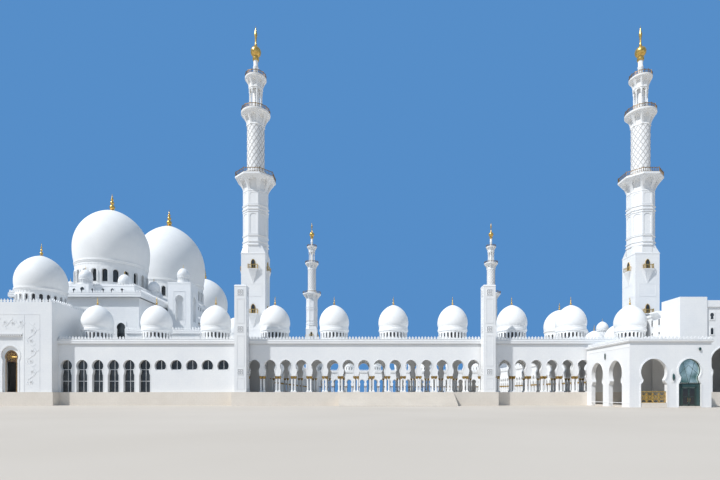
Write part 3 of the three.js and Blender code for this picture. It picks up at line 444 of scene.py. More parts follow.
# Painted shade: a near-black rough stone that stands for the unlit insides seen through the dome drums'
# slots.
PAINTED_SHADE_INSIDE = stone("painted_shade_inside", (0.1, 0.1, 0.105), (0.06, 0.06, 0.065), roughness=(0.8, 0.95),
                    slot="glass")
GLASS = glazing("dark_glass", (0.02, 0.024, 0.028), (0.05, 0.058, 0.065))
TEAL_GLASS = glazing("teal_glass", (0.012, 0.04, 0.042), (0.03, 0.085, 0.08))
MIRROR_GLASS = glazing("mirror_glass", (0.14, 0.26, 0.22), (0.75, 0.9, 0.88), metallic=0.75)
DOOR_GLASS = glazing("door_glass", (0.006, 0.008, 0.01), (0.016, 0.02, 0.024))
AMBER_GLASS = glazing("amber_glass", (0.05, 0.022, 0.01), (0.22, 0.11, 0.04))
FRAME_METAL = glazing("teal_metal", (0.02, 0.045, 0.04), (0.035, 0.07, 0.062))


# Arches: a circle that closes in to a neck and flares out to the impost


def horseshoe(radius, centre_z, neck_half, impost_half, impost_z, lift=0.06, steps=18):
    """The left half from the impost up to the crown, then the right half mirrored, as pairs."""
    neck_angle = -math.acos(neck_half / radius)
    neck_z = centre_z + radius * math.sin(neck_angle)
    half, flare_steps = [(impost_half, impost_z)], 5
    for t in np.arange(1, flare_steps) / flare_steps:
        half.append((impost_half + (neck_half - impost_half) * math.sin(t * QUARTER) ** 0.8,
                     impost_z + (neck_z - impost_z) * t))
    for i in range(steps + 1):
        angle = neck_angle + (QUARTER - neck_angle) * i / steps
        point_up = lift * radius * max(0.0, math.sin(angle)) ** 6
        half.append((radius * math.cos(angle) * (i < steps), centre_z + radius * math.sin(angle) + point_up))
    return [(-x, z) for x, z in half] + half[-2::-1]


def on_feet(curve, low):
    """A curve whose two ends run straight down to low."""
    return [(curve[0][0], low)] + curve + [(curve[-1][0], low)]


def pointed_arch(half, sill, spring, crown, steps=7):
    """A two-centred arch outline, as pairs from the left foot over the crown to the right foot."""
    rise = crown - spring
    radius = (half * half + rise * rise) / (2 * half)
    centre = radius - half
    end = math.atan2(rise, centre)
    left = [(-half, sill)]
    for i in range(steps):
        angle = end * i / steps
        left.append((centre - radius * math.cos(angle), spring + radius * math.sin(angle)))
    return left + [(0.0, crown)] + [(-x, z) for x, z in left][::-1]


def slot_curve(width, low, high, steps=8):
    half = width / 2
    angles = [math.pi * (1 - i / steps) for i in range(steps + 1)]
    return on_feet([(half * math.cos(a), high - half + half * math.sin(a)) for a in angles], low)


def edge_point(point, centre_z, half_width, top):
    """Where the line from the arch centre through a point of its curve meets the bay's edge."""
    x, z = point
    if z <= centre_z:
        return math.copysign(half_width, x), z
    if abs(x) * (top - centre_z) > (z - centre_z) * half_width:
        return math.copysign(half_width, x), centre_z + (z - centre_z) * half_width / abs(x)
    return x * (top - centre_z) / (z - centre_z), top


def with_corner_points(curve, centre_z, half_width, top):
    """The curve with a point added where the line to each upper corner of the bay crosses it."""
    result = [curve[0]]
    for a, b in zip(curve, curve[1:]):
        edges = [edge_point(point, centre_z, half_width, top)[1] for point in (a, b)]
        at_top = [abs(z - top) < 1e-9 and point[1] > centre_z for z, point in zip(edges, (a, b))]
        if at_top[0] != at_top[1]:
            slope = (top - centre_z) / (math.copysign(1, a[0] + b[0]) * half_width)
            dx, dz = b[0] - a[0], b[1] - a[1]
            t = (centre_z + slope * a[0] - a[1]) / (dz - slope * dx)
            result.append((a[0] + t * dx, a[1] + t * dz))
        result.append(b)
    return result


def arch_bay(curve, centre_z, half_width, bottom, top, depth):
    """One closed bay of wall, with the arch curve cut through, centred on u = 0 and v = 0."""
    curve = with_corner_points(curve, centre_z, half_width, top)
    edge = [edge_point(point, centre_z, half_width, top) for point in curve]
    count = len(curve)
    front, back = -depth / 2, depth / 2
    points = [(x, v, z) for v in (front, back) for x, z in curve + edge]
    offset = 2 * count
    faces = []
    for i in range(count - 1):
        a, b, c, d = i, i + 1, count + i + 1, count + i
        faces += [(a, b, c, d), (offset + d, offset + c, offset + b, offset + a),
                  (a, offset + a, offset + b, b), (d, c, offset + c, offset + d)]
    feet = [(low, high, offset + high, offset + low) for low, high in ((0, count), (count - 1, offset - 1))]
    parts, sill = [shape(points, faces), shape(points, feet)], curve[0][1]
    if sill > bottom + 1e-6:
        outline = [(-half_width, bottom), (half_width, bottom), (half_width, sill), (curve[-1][0], sill),
                   (curve[0][0], sill), (-half_width, sill)]
        parts.append(prism(outline, front, back))
    return merge(parts)


def panel(half, low, high, border, proud, centre_z=None):
    """A raised frame round an upright rectangle."""
    curve = [(-half, low), (-half, high), (half, high), (half, low)]
    centre_z = (low + high) / 2 if centre_z is None else centre_z
    return arch_bay(curve, centre_z, half + border, low - border, high + border, proud)


def arch_rim(curve, width, front, proud):
    """A raised band round an arch, on the front face."""
    count = len(curve)
    outer = []
    for i, (x, z) in enumerate(curve):
        along = np.array(curve[min(i + 1, count - 1)]) - np.array(curve[max(i - 1, 0)])
        along = along / np.linalg.norm(along)
        outer.append((x - along[1] * width, z + along[0] * width))
    corners = ((curve, front), (outer, front), (outer, front - proud), (curve, front - proud))
    points, faces = sheet([[(x, v, z) for x, z in line] for line, v in corners], ring_of_rows=True)
    return points, faces + [tuple(range(0, 4 * count, count)), tuple(range(4 * count - 1, 0, -count))]


def wall_windows(curve, centre_z, places, plane, facing=0, border=0.25, proud=0.12):
    """Stone frames and glass of blind windows on a wall. facing is the turn from south in quarters."""
    half, crown = max(abs(x) for x, z in curve), max(z for x, z in curve)
    stone_frame = arch_bay(curve, centre_z, half + border, curve[0][1] - border, crown + border, proud)
    parts = (moved(stone_frame, v=-proud / 2), prism(curve, -0.05, 0.03))
    return [turned(moved(in_row(part, places), v=-plane), facing * QUARTER) for part in parts]


ARCH = {"radius": 1.5, "centre_z": 10.2, "neck_half": 1.14, "impost_half": 1.42, "impost_z": IMPOST}
RIM_WIDTH = 0.16
RIM_PROUD = 0.06

# Columns: four slender shafts to a pier, with gilt capitals like opening leaves
SHAFT_PLACES = [(a * 0.4, b * 0.3) for a in BOTH for b in BOTH]
CAPITAL_LOW, CAPITAL_HIGH = 6.85, 7.55


def pier(fine):
    shaft = lathe([(0.2, FLOOR + 0.45), (0.188, 6.9)], 12 if fine else 6)
    if fine:
        foot = lathe([(0.3, FLOOR + 0.25), (0.32, FLOOR + 0.35), (0.22, FLOOR + 0.5)], 12)
        shaft = merge([shaft, foot])
    base = box((-0.75, 0.75), (-0.62, 0.62), (LOW, FLOOR + (0.25 if fine else 0.48)))
    slab = box((-0.68, 0.68), (-0.56, 0.56), (CAPITAL_HIGH - 0.02, IMPOST))
    return merge([copies_at(shaft, SHAFT_PLACES), base, slab])


def capital(fine):
    low, high = CAPITAL_LOW, CAPITAL_HIGH
    if not fine:
        return lathe([(0.21, low), (0.26, low + 0.3), (0.4, high - 0.1)], 6)
    core = lathe([(0.21, low), (0.24, low + 0.08), (0.2, low + 0.14), (0.24, low + 0.4), (0.34, high)], 12)
    leaf_outline = [(0.2, low + 0.12), (0.27, low + 0.42), (0.42, high - 0.06), (0.45, high - 0.16),
                    (0.36, low + 0.4), (0.3, low + 0.12)]
    return merge([core, copies_round(prism(leaf_outline, -0.07, 0.07), 8)])


def steps_between(start, end, pitch=ARCH_PITCH):
    first = math.ceil((start + pitch / 2) / pitch - 1e-9)
    last = math.floor((end - pitch / 2) / pitch + 1e-9)
    return [n * pitch for n in range(first, last + 1)]


def open_arcade(name, end, across, node, start=None, turn=0.0, fine=False, shut=lambda place: False):
    """An arcade wall on columns. shut tells the bays that are plain wall down to the floor."""
    start = -end if start is None else start
    places = steps_between(start, end)
    opened = [place for place in places if not shut(place)]
    curve = horseshoe(**ARCH, steps=16 if fine else 8)
    bay = arch_bay(curve, ARCH["centre_z"], HALF_PITCH, IMPOST, ARCADE_TOP, WALL_THICK)
    plain = [about(place, HALF_PITCH) for place in places if shut(place)]
    plain += [(start, places[0] - HALF_PITCH), (places[-1] + HALF_PITCH, end)]
    wall = [box(span, WALL_V, (LOW, ARCADE_TOP)) for span in plain if span[1] > span[0] + 1e-3]
    stones = [welded(merge([in_row(bay, opened)] + wall))]
    if fine:
        stones.append(in_row(arch_rim(horseshoe(**ARCH, steps=12), RIM_WIDTH, WALL_V[0], RIM_PROUD), opened))
    piers = sorted({round(place + side * HALF_PITCH, 4) for place in opened for side in BOTH})
    stones.append(in_row(pier(fine), piers))
    gold = in_row(copies_at(capital(fine), SHAFT_PLACES), piers)
    place = {"u": across} if turn else {"v": across}
    piece(name, moved(turned(merge(stones), turn), **place), MARBLE, node)
    piece(name + "_capitals", moved(turned(gold, turn), **place), OLD_GOLD)


# Roof edges: a slab on a cove, a low parapet, and leaf-shaped merlons
MERLON_PITCH = 0.8125
MERLON_TOP = 17.85
MERLON_HALF_THICK = 0.08
MERLON_SHAPE = [(0.2, 0.0), (0.2, 0.22), (0.3, 0.34), (0.3, 0.5), (0.17, 0.66), (0.1, 0.84), (0.0, 1.0)]


def swept_edge(u, v, profile):
    """A moulding round a rectangle, from pairs of inset and height that close on themselves."""
    corners = ((0, 0), (1, 0), (1, 1), (0, 1))
    rows = [[(grown(u, -inset)[a], grown(v, -inset)[b], z) for inset, z in profile] for a, b in corners]
    return sheet(rows, True, True)


def merlons_round(u, v, base, top, keep=lambda u, v: True, inset=0.2):
    outline = [(x, base + t * (top - base)) for x, t in MERLON_SHAPE]
    unit = prism(outline + [(-x, z) for x, z in outline[-2::-1]], -MERLON_HALF_THICK, MERLON_HALF_THICK)
    parts = []
    for along, across, turn in ((u, v, 0.0), (v, u, QUARTER)):
        low, high = grown(along, -inset)
        count = max(1, round((high - low) / MERLON_PITCH))
        for fixed in grown(across, -inset):
            for i in range(count):
                place = low + (i + 0.5) * (high - low) / count
                spot = (fixed, place) if turn else (place, fixed)
                if keep(*spot):
                    parts.append(moved(turned(unit, turn), *spot))
    return merge(parts)


def roof_edge(u, v, levels, base=0.05):
    """Cove, slab edge and parapet round a flat roof, as one moulding with a flat inside."""
    low, slab_top, top = levels
    return swept_edge(u, v, [(base, low), (0.0, low + 0.25), (0.0, slab_top - 0.1), (-0.06, slab_top - 0.05),
                             (-0.06, slab_top + 0.05), (0.06, slab_top + 0.1), (0.06, top - 0.1),
                             (0.0, top - 0.07), (0.0, top), (0.4, top), (0.4, low)])


def flat_roof(u, v, levels, merlon_top, keep=lambda u, v: True, base=0.05):
    """A roof slab with its edge moulding and merlons."""
    return merge([box(grown(u, -0.2), grown(v, -0.2), levels[:2]), roof_edge(u, v, levels, base),
                  merlons_round(u, v, levels[2] - 0.05, merlon_top, keep)])


# Domes: the bulb starts a little narrower than its radius, swells above the ring and closes in a blunt point
SMALL_BULB = (0.96, 0.16)
GREAT_BULB = (0.95, 0.27)
ENTRANCE_BULB = (0.96, 0.2)


def dome_curve(radius, ring_z, apex_z, steps, bulb=SMALL_BULB):
    """Pairs of radius and height from the ring to just below the apex. bulb holds the neck and the swell."""
    neck, swell = math.acos(bulb[0]), bulb[1]
    wide_z = ring_z + swell * (apex_z - ring_z)
    height = apex_z - wide_z
    sweep_radius = (height ** 2 + radius ** 2) / (2 * radius)
    sweep = math.asin(height / sweep_radius)
    curve = []
    for i in range(steps // 3):
        angle = neck * (1 - i / (steps // 3))
        drop = (wide_z - ring_z) * math.sin(angle) / math.sin(neck)
        curve.append((radius * math.cos(angle), wide_z - drop))
    for i in range(steps):
        angle = sweep * i / steps
        curve.append((radius - sweep_radius * (1 - math.cos(angle)), wide_z + sweep_radius * math.sin(angle)))
    return curve


def finial(base_z, tip_z, radius):
    """A gilt finial: a foot, three balls of falling size and a spike."""
    height = tip_z - base_z
    profile = [(1.5 * radius, base_z - 0.25 * radius), (0.9 * radius, base_z + 0.05 * height)]
    for centre, size in ((0.2, 1.0), (0.45, 0.72), (0.64, 0.5)):
        middle, ball = base_z + centre * height, size * radius
        profile.append((0.28 * radius, middle - ball * 1.1))
        for i in range(1, 6):
            angle = math.pi * (i / 6 - 0.5)
            profile.append((ball * math.cos(angle), middle + ball * math.sin(angle)))
        profile.append((0.26 * radius, middle + ball * 1.1))
    return lathe(profile + [(0.2 * radius, base_z + 0.76 * height), (0, tip_z)], 12)


def arched_slot_ring(radius, wall, low, high, base, top, count, width):
    """A drum whose wall is pierced by a ring of arched slots, made bay by bay."""
    curve, half = slot_curve(width, low, high), math.pi * radius / count
    points, faces = arch_bay(curve, high - width / 2 - 0.01, half, base, top, wall)
    angle, distance = points[:, 0] / radius, radius - wall / 2 - points[:, 1]
    bent = np.stack([distance * np.sin(angle), -distance * np.cos(angle), points[:, 2]], axis=1)
    return welded(copies_round((bent, faces), count))


ARCADE_DOME_RADIUS = 4.1
ARCADE_DOME_APEX = 27.35
ARCADE_DOME_TIP = 29.85
DRUM_LOW = CORNICE_TOP - 0.05


def arcade_domes(fine, places):
    """Shells, dark cylinders painted as the shade of the unlit insides seen through the drums' slots, and
    finials of a row of small domes.
    """
    drum = arched_slot_ring(3.8, 0.4, 17.9, 19.5, DRUM_LOW, 19.85, 24 if fine else 14, 0.56)
    ring = [(3.86, 19.8), (4.02, 20.0), (4.02, 20.5), (3.92, 20.65), (3.92, 21.3)]
    curve = dome_curve(ARCADE_DOME_RADIUS, 21.3, ARCADE_DOME_APEX, 18 if fine else 11)
    bulb = lathe(ring + curve + [(0, ARCADE_DOME_APEX)], 44 if fine else 28)
    # A dark cylinder just behind the slots, painted as the shade of the drum's unlit inside.
    inside = lathe([(3.3, DRUM_LOW), (3.3, 19.75)], 20)
    tip = finial(ARCADE_DOME_APEX, ARCADE_DOME_TIP, 0.26)
    return [copies_at(part, places) for part in (merge([drum, bulb]), inside, tip)]


def arcade_roof(name, u, v, dome_places, node, fine=False, taken=()):
    """A roof strip with merlons and domes. taken are plan boxes that taller pieces fill."""
    free = lambda a, b: not any(box_u[0] < a < box_u[1] and box_v[0] < b < box_v[1] for box_u, box_v in taken)
    levels = (ARCADE_TOP + SEAT, CORNICE_TOP, PARAPET_TOP)
    piece(name, flat_roof(u, v, levels, MERLON_TOP, free), MARBLE, node)
    # The dome slots' piece is the dark cylinder in painted shade.
    finishes = (("_domes", DOME_MARBLE), ("_dome_slots", PAINTED_SHADE_INSIDE), ("_finials", GOLD))
    for part, (ending, finish) in zip(arcade_domes(fine, dome_places), finishes):
        piece(name + ending, part, finish)


# Portals, gatehouses and other places in plan
PORTAL_AXIS_U = -114.5
PORTAL_DOME_U = -113.0
PORTAL_HALF_U = 10.9
PORTAL_U = about(PORTAL_AXIS_U, PORTAL_HALF_U)
PORTAL_FRONT_V = 96.2
PORTAL_TOP = 26.3
GATEHOUSE_WEST_U = 53.2
GATEHOUSE_FRONT_V = 100.1
GATEHOUSE_BACK_V = 83.2
GATEHOUSE_SCREEN_V = 92.9
GATEHOUSE_ROOF = 24.0
GATEHOUSE_TOP = 26.8
GATE_HALF_V = 15.0
GATE_TOP = 26.0
WING_U = (33.2, 51.0)
PYLON_HALF = 1.5
PYLON_TOP = 30.5
ROOF_EDGE = WALL_THICK / 2 + OVERHANG
PYLON_V = OUTER_V + ROOF_EDGE + SEAT + PYLON_HALF
PYLON_PLACES_U = {"west": -55.6, "east": 7.3}
LAST_WINDOW_BAY = -14
PYLON_BAY = 2
SPLIT_U = (LAST_WINDOW_BAY + 0.5) * ARCH_PITCH
MINARET_U = 55.5
MINARET_V = 79.5
MINARET_HALF = 3.4
MINARET_BOXES = [(about(a * MINARET_U, 3.9), about(b * MINARET_V, 3.9)) for a in BOTH for b in BOTH]
HALL_U = about(HALL_AXIS_U, HALL_HALF_U)
HALL_V = (-HALL_HALF_V, HALL_HALF_V)
HALL_BOX = (grown(HALL_U, 0.5), grown(HALL_V, 0.5))
UPPER_HALF_U = 19.0
UPPER_HALF_V = 70.8
UPPER_U = about(HALL_AXIS_U, UPPER_HALF_U)
UPPER_OVERHANG = 1.3
SIDES = {"south": -1, "north": 1}


# Arcades
def build_arcades():
    in_wing = lambda u: WING_U[0] - 0.5 < u < WING_U[1] + 0.5
    closed_south = lambda u: in_wing(u) or abs(u - PYLON_BAY * ARCH_PITCH) < 1
    end = GATEHOUSE_WEST_U - SEAT
    open_arcade("south_arcade", end, -OUTER_V, "south_wall_east", start=SPLIT_U, fine=True, shut=closed_south)
    open_arcade("north_arcade", end, OUTER_V, "north_wall", start=PORTAL_U[1] + SEAT, shut=in_wing)
    for label, side in SIDES.items():
        end = MINARET_U - MINARET_HALF - SEAT
        open_arcade(label + "_court_arcade", end, side * COURT_HALF_V, label + "_court_wall")
    for label, across in (("east", COURT_HALF_U), ("west", -COURT_HALF_U)):
        end = MINARET_V - MINARET_HALF - SEAT
        open_arcade(label + "_court_arcade", end, across, label + "_court_wall", turn=QUARTER)
    open_arcade("east_arcade", GATEHOUSE_BACK_V - SEAT, OUTER_U, "east_wall", turn=QUARTER)


def build_roofs():
    u = (PORTAL_U[1] + SEAT, GATEHOUSE_WEST_U - SEAT)
    for label, side in SIDES.items():
        v = ordered(side * (OUTER_V + ROOF_EDGE), side * (COURT_HALF_V - ROOF_EDGE))
        places = [(bay * BAY, side * DOME_LINE_V) for bay in range(-6, 4)]
        arcade_roof(label + "_arcade_roof", u, v, places, label + "_roof", side < 0,
                    MINARET_BOXES + [HALL_BOX])
    places = [(DOME_LINE_U, bay * BAY) for bay in range(-4, 5) if bay]
    arcade_roof("east_arcade_roof", (COURT_HALF_U - ROOF_EDGE, OUTER_U + ROOF_EDGE),
                about(0, GATEHOUSE_BACK_V - SEAT), places, "east_roof", taken=MINARET_BOXES)
    places = [(-DOME_LINE_U, bay * BAY) for bay in range(-4, 5)]
    arcade_roof("west_arcade_roof", (HALL_U[1] + OVERHANG + SEAT, -COURT_HALF_U + ROOF_EDGE),
                about(0, COURT_HALF_V - ROOF_EDGE - SEAT), places, "west_roof", taken=MINARET_BOXES)


# Minarets: a square base, an eight-sided shaft, a round shaft and a lantern, with three balconies
BALCONY_FLOORS = (64.7, 83.6, 93.8)
LEDGE_FLOORS = (25.4, 38.0)
LEDGE_CORBEL = 3.8
SHORT_CORBEL = 0.75
NICHE_ROWS = 12
NICHE_SHARE = 0.62


def railing(half, sides, low, high, bars):
    """A railing round a balcony with a flat side to each front."""
    reach = half * math.tan(math.pi / sides)
    parts = [box(about(0, reach), about(-half, 0.06), (high - 0.14, high)),
             box(about(0, reach), about(-half, 0.03), (low + 0.05, low + 0.12)),
             box(about(-reach, 0.07), about(-half, 0.07), (low, high + 0.16))]
    for i in range(1, bars):
        bar = about(-reach + 2 * reach * i / bars, 0.05)
        parts.append(box(bar, about(-half, 0.04), (low + 0.1, high - 0.1)))
    return copies_round(merge(parts), sides)


def niche_corbel(half_low, half_high, low, high, slab):
    """An eight-sided corbel that spreads in a hollow curve, with a pointed niche sunk into each side."""
    rows, tan = [], math.tan(math.pi / 8)
    for i in range(NICHE_ROWS + 1):
        t = i / NICHE_ROWS
        spread = 1 - math.cos(t * QUARTER)
        outer = half_low + (half_high - half_low) * spread
        share = NICHE_SHARE * math.sqrt(max(0.0, 1 - (max(0.0, t - 0.6) / 0.3) ** 2))
        if t < 0.12 or t > 0.9:
            share = 0.0
        deep = half_low * 0.97 + (half_high - half_low) * 0.22 * spread if share else outer
        half_row = [(1, outer), (share, outer), (share, deep), (share / 2, deep * 0.985)]
        across = [(-s, out) for s, out in half_row] + [(0, deep * 0.98)] + half_row[::-1]
        rows.append([(s * tan * outer, -out, low + (high - low) * t) for s, out in across])
    top, wide = high + slab, half_high + 0.1
    plate = flat_sided([(half_high, high), (wide, high + 0.08), (wide, top - 0.06),
                        (half_high + 0.04, top)], 8)
    foot = flat_sided([(half_low, low - 0.02), (half_low + 0.1, low + 0.06), (half_low + 0.1, low + 0.2),
                       (half_low, low + 0.28)], 8)
    return merge([welded(copies_round(sheet(rows), 8)), plate, foot])


def lattice(radius, low, high, strands=12, turns=3.4, width=0.1, proud=0.05, steps=26):
    """Raised strands that wind round a shaft both ways and cross in diamonds."""
    parts, spread = [], width / radius
    section = ((-spread, radius - 0.03), (-spread, radius + proud), (spread, radius + proud),
               (spread, radius - 0.03))
    for sense in BOTH:
        for k in range(strands):
            rows = []
            for t in np.linspace(0, 1, steps + 1):
                angle = 2 * math.pi * k / strands + sense * turns * t
                rows.append([(r * math.cos(angle + a), r * math.sin(angle + a), low + (high - low) * t)
                             for a, r in section])
            points, faces = sheet(rows, closed_rows=True)
            last = 4 * steps
            parts.append((points, faces + [(0, 1, 2, 3), (last + 3, last + 2, last + 1, last)]))
    return merge(parts)


def ledge(low, corbel, reach=0.75):
    """A small square floor on a tapering corbel, half sunk in the wall, that stands out by reach."""
    part = flat_sided([(0.1, low - corbel), (0.25, low - corbel * 0.85), (1.2, low - 0.12), (1.3, low),
                       (1.3, low + 0.12)], 4)
    return stretched(part, v=reach / 1.3)


def minaret_base(short_turn):
    """Stone, glass and gilding. On the side short_turn a roof leaves room for a short lower ledge only."""
    half, tan, eight = MINARET_HALF, math.tan(math.pi / 8), 3.35
    shaft = flat_sided([(half, LOW), (half, 42.35), (half + 0.07, 42.4), (half + 0.07, 42.6), (half, 42.65),
                        (half, 42.75)], 4)
    wedge = loft([(half, half * tan, 42.7), (half, half, 42.7), (half * tan, half, 42.7)],
                 [(eight, eight * tan, 44.8), (eight * 0.9, eight * 0.9 * tan * 1.9, 44.8),
                  (eight * tan, eight, 44.8)])
    stones, glass, gold = [shaft, copies_round(wedge, 4)], [], []
    for turn in range(4):
        corbel = SHORT_CORBEL if turn == short_turn else LEDGE_CORBEL
        stones.append(turned(moved(ledge(LEDGE_FLOORS[0], corbel), v=-half), turn * QUARTER))
    stones.append(to_each_side(ledge(LEDGE_FLOORS[1], LEDGE_CORBEL), half))
    for low in LEDGE_FLOORS:
        curve = pointed_arch(0.5, low + 0.15, low + 1.9, low + 2.8)
        guard = stretched(railing(1.3, 4, low + 0.12, low + 1.3, 5), v=0.55)
        gold += [to_each_side(part, half) for part in (arch_rim(curve, 0.13, 0.0, 0.14), guard)]
        glass.append(to_each_side(prism(curve, -0.06, 0.06), half))
    for low, high in ((30.6, 33.9), (17.9, 20.9)):
        stones.append(to_each_side(panel(2.3, low, high, 0.2, 0.08, low + 0.5), half))
    return merge(stones), merge(glass), merge(gold)


def minaret_eight_sided():
    """The eight-sided shaft with its mouldings and blind arches, and the lowest balcony with its railing."""
    parts = [flat_sided(stepped(
        (3.3, 42.7, 44.8), (3.55, 44.95, 45.2), (3.36, 45.3, 45.8), (3.55, 45.9, 46.15), (3.32, 46.25, 47.5),
        (3.5, 47.6, 47.85), (3.24, 47.95, 54.25), (3.45, 54.35, 54.6), (3.32, 54.7, 54.9),
        (3.55, 55.05, 55.3), (3.36, 55.4, 55.95), (3.55, 56.1, 56.35), (3.3, 56.5, 60.3)), 8)]
    side = 3.36 * math.tan(math.pi / 8)
    for low, high in ((48.0, 54.2), (56.6, 60.1)):
        curve = pointed_arch(side - 0.42, low + 0.3, high - 1.1, high - 0.3)
        parts.append(to_each_side(arch_bay(curve, high - 1.11, side, low, high, 0.14), 3.29, 8))
    floor = BALCONY_FLOORS[0]
    parts.append(niche_corbel(3.3, 5.3, 60.2, floor - 0.6, 0.6))
    return merge(parts), railing(5.28, 8, floor, floor + 1.2, 9)


def round_slab(radius, low, high):
    return lathe([(radius - 0.25, low), (radius - 0.05, low + 0.12), (radius, low + 0.25),
                  (radius, high - 0.08), (radius - 0.06, high)], 40)


def minaret_round():
    """The round shaft and the lantern with its columns, the finial, and the two upper railings."""
    first, second, third = BALCONY_FLOORS
    shaft = lathe(stepped((2.68, first, first + 1.5), (2.78, first + 1.6, first + 2.0),
                          (2.45, first + 2.2, 79.7)), 32)
    column = lathe(stepped((0.24, second, second + 0.25), (0.16, second + 0.4), (0.15, 89.0),
                           (0.26, 89.4, 89.6)), 8)
    side = 1.75 * math.tan(math.pi / 8)
    arch = arch_bay(pointed_arch(side - 0.16, 89.4, 89.7, 90.3), 89.69, side, 89.4, 90.6, 0.26)
    neck = lathe(stepped((0.95, third, third + 0.3), (0.72, third + 0.6), (0.62, 96.6), (0.78, 96.9, 97.2),
                         (0.62, 97.5), (0.66, 99.0)), 20)
    parts = [shaft, niche_corbel(2.4, 3.65, 79.6, second - 0.75, 0.2),
             round_slab(4.15, second - 0.65, second),
             copies_round(moved(column, v=-1.72), 8, math.pi / 8), lathe([(1.0, second), (1.0, 90.4)], 16),
             to_each_side(arch, 1.7, 8), niche_corbel(1.85, 2.65, 90.5, third - 0.7, 0.2),
             round_slab(3.05, third - 0.6, third), neck]
    guards = [railing(3.95, 16, second, second + 1.05, 4), railing(2.88, 16, third, third + 0.95, 3)]
    ball = [(1.5 * math.cos(a), 101.5 + 1.5 * math.sin(a)) for a in np.linspace(-1.05, 1.25, 12)]
    gold = lathe(stepped((0.78, 98.9), (0.92, 99.2, 99.7), (0.72, 100.0)) + ball +
                 stepped((0.34, 103.1), (0.42, 103.4), (0.3, 103.7), (0.22, 104.3), (0.3, 105.6),
                         (0.42, 106.3, 106.8), (0.25, 107.4), (0.15, 108.2), (0, 109.2)), 24)
    return merge(parts), gold, merge(guards)


def build_minarets():
    eight, eight_guard = minaret_eight_sided()
    upper, upper_gold, upper_guards = minaret_round()
    net = lattice(2.45, BALCONY_FLOORS[0] + 2.2, 79.55)
    for row, side in SIDES.items():
        for end, u in (("west", -MINARET_U), ("east", MINARET_U)):
            name = f"{row}_{end}_minaret"
            base, glass, gilt = minaret_base(1 + side if end == "east" else None)
            for ending, part, finish, node in (
                    ("_shaft", merge([base, eight]), MARBLE, "_tower"),
                    ("_lantern", upper, DOME_MARBLE, "_crown"),
                    ("_gilding", merge([gilt, upper_gold]), GOLD, ""),
                    ("_railings", merge([eight_guard, upper_guards]), BRONZE, ""),
                    # The net is grey: painted shade for the grooves between its lozenges.
                    ("_windows", glass, GLASS, ""), ("_net", net, PAINTED_GROOVE_SHADE, "")):
                piece(name + ending, moved(part, u, side * MINARET_V), finish, node and name + node)


# Great domes
SIDE_DOME = {"radius": 12.2, "drum": 11.4, "ring": 47.3, "apex": 67, "tip": 73.1, "slots": 22, "attic": 37.6}
MAIN_DOME = {"radius": 15.5, "drum": 14.6, "ring": 52.1, "apex": 79.1, "tip": 86.7, "slots": 28, "attic": 41}
GREAT_DOMES = (("south", -50, SIDE_DOME), ("main", 0, MAIN_DOME), ("north", 50, SIDE_DOME))


def great_dome(radius, drum, ring, apex, tip, slots, attic):
    """Stone, the dark pane behind the drum's windows, and the finial."""
    top, inner = ring - 3.3, drum - 0.8
    windows = arched_slot_ring(drum, 0.8, top - 4.2, top, top - 5.0, top + 0.9, slots, 1.72)
    rims = to_each_side(arch_rim(slot_curve(1.72, top - 4.2, top), 0.4, 0, 0.2), drum, slots)
    back = lathe([(drum - 1.1, top - 5.0), (drum - 1.1, top + 0.8), (drum - 1.25, top + 0.8),
                  (drum - 1.25, top - 5.0)], 48, ends="joined")
    lower = stepped((inner, attic + SEAT), (1.05 * drum, attic + SEAT, top - 5.9),
                    (1.07 * drum, top - 5.8, top - 5.45), (1.03 * drum, top - 5.3, top - 5.0),
                    (inner, top - 5.0))
    bulb = stepped((inner, top + 0.9), (drum, top + 0.9, top + 2.3), (1.015 * drum, top + 2.4, top + 2.65),
                   (1.03 * drum, top + 2.8, ring)) + dome_curve(radius, ring, apex, 30, GREAT_BULB)
    buds = box((-0.22, 0.22), (-drum - 0.09, -drum + 0.1), (top + 1.5, top + 1.9))
    stones = merge([windows, rims, copies_round(buds, 3 * slots), lathe(lower, 72, ends="joined"),
                    lathe(bulb + [(0, apex), (0, apex - 1), (inner, ring)], 72, ends="open")])
    return stones, back, finial(apex - 0.1, tip, 0.075 * radius)


def build_great_domes():
    for label, v, spec in GREAT_DOMES:
        name = label + "_great_dome"
        stones, back, tip = all_moved(great_dome(**spec), HALL_AXIS_U, v)
        piece(name + "_shell", stones, DOME_MARBLE, name)
        piece(name + "_panes", back, GLASS)
        piece(name + "_finial", tip, GOLD)


# Prayer hall: a lower block, notched at both ends where the upper block's end walls run down to a low roof


def ring_of_walls(u, v, low, high):
    return swept_edge(u, v, [(0, low), (0, high), (BLOCK_WALL, high), (BLOCK_WALL, low)])


def lower_hall_roof(u, side):
    """Cornice and merlons of the lower block on one side of the upper block."""
    inner = UPPER_U[0] if side < 0 else UPPER_U[1]
    out_u = (u[0] - OVERHANG, u[1]) if side < 0 else (u[0], u[1] + OVERHANG)
    keep = lambda a, b: abs(a - inner) > 0.6 or abs(b) > UPPER_HALF_V
    levels = (HALL_TOP + SEAT, HALL_CORNICE_TOP, HALL_CORNICE_TOP + 0.5)
    return flat_roof(out_u, grown(HALL_V, OVERHANG), levels, HALL_CORNICE_TOP + 1.35, keep, 0.8 * OVERHANG)


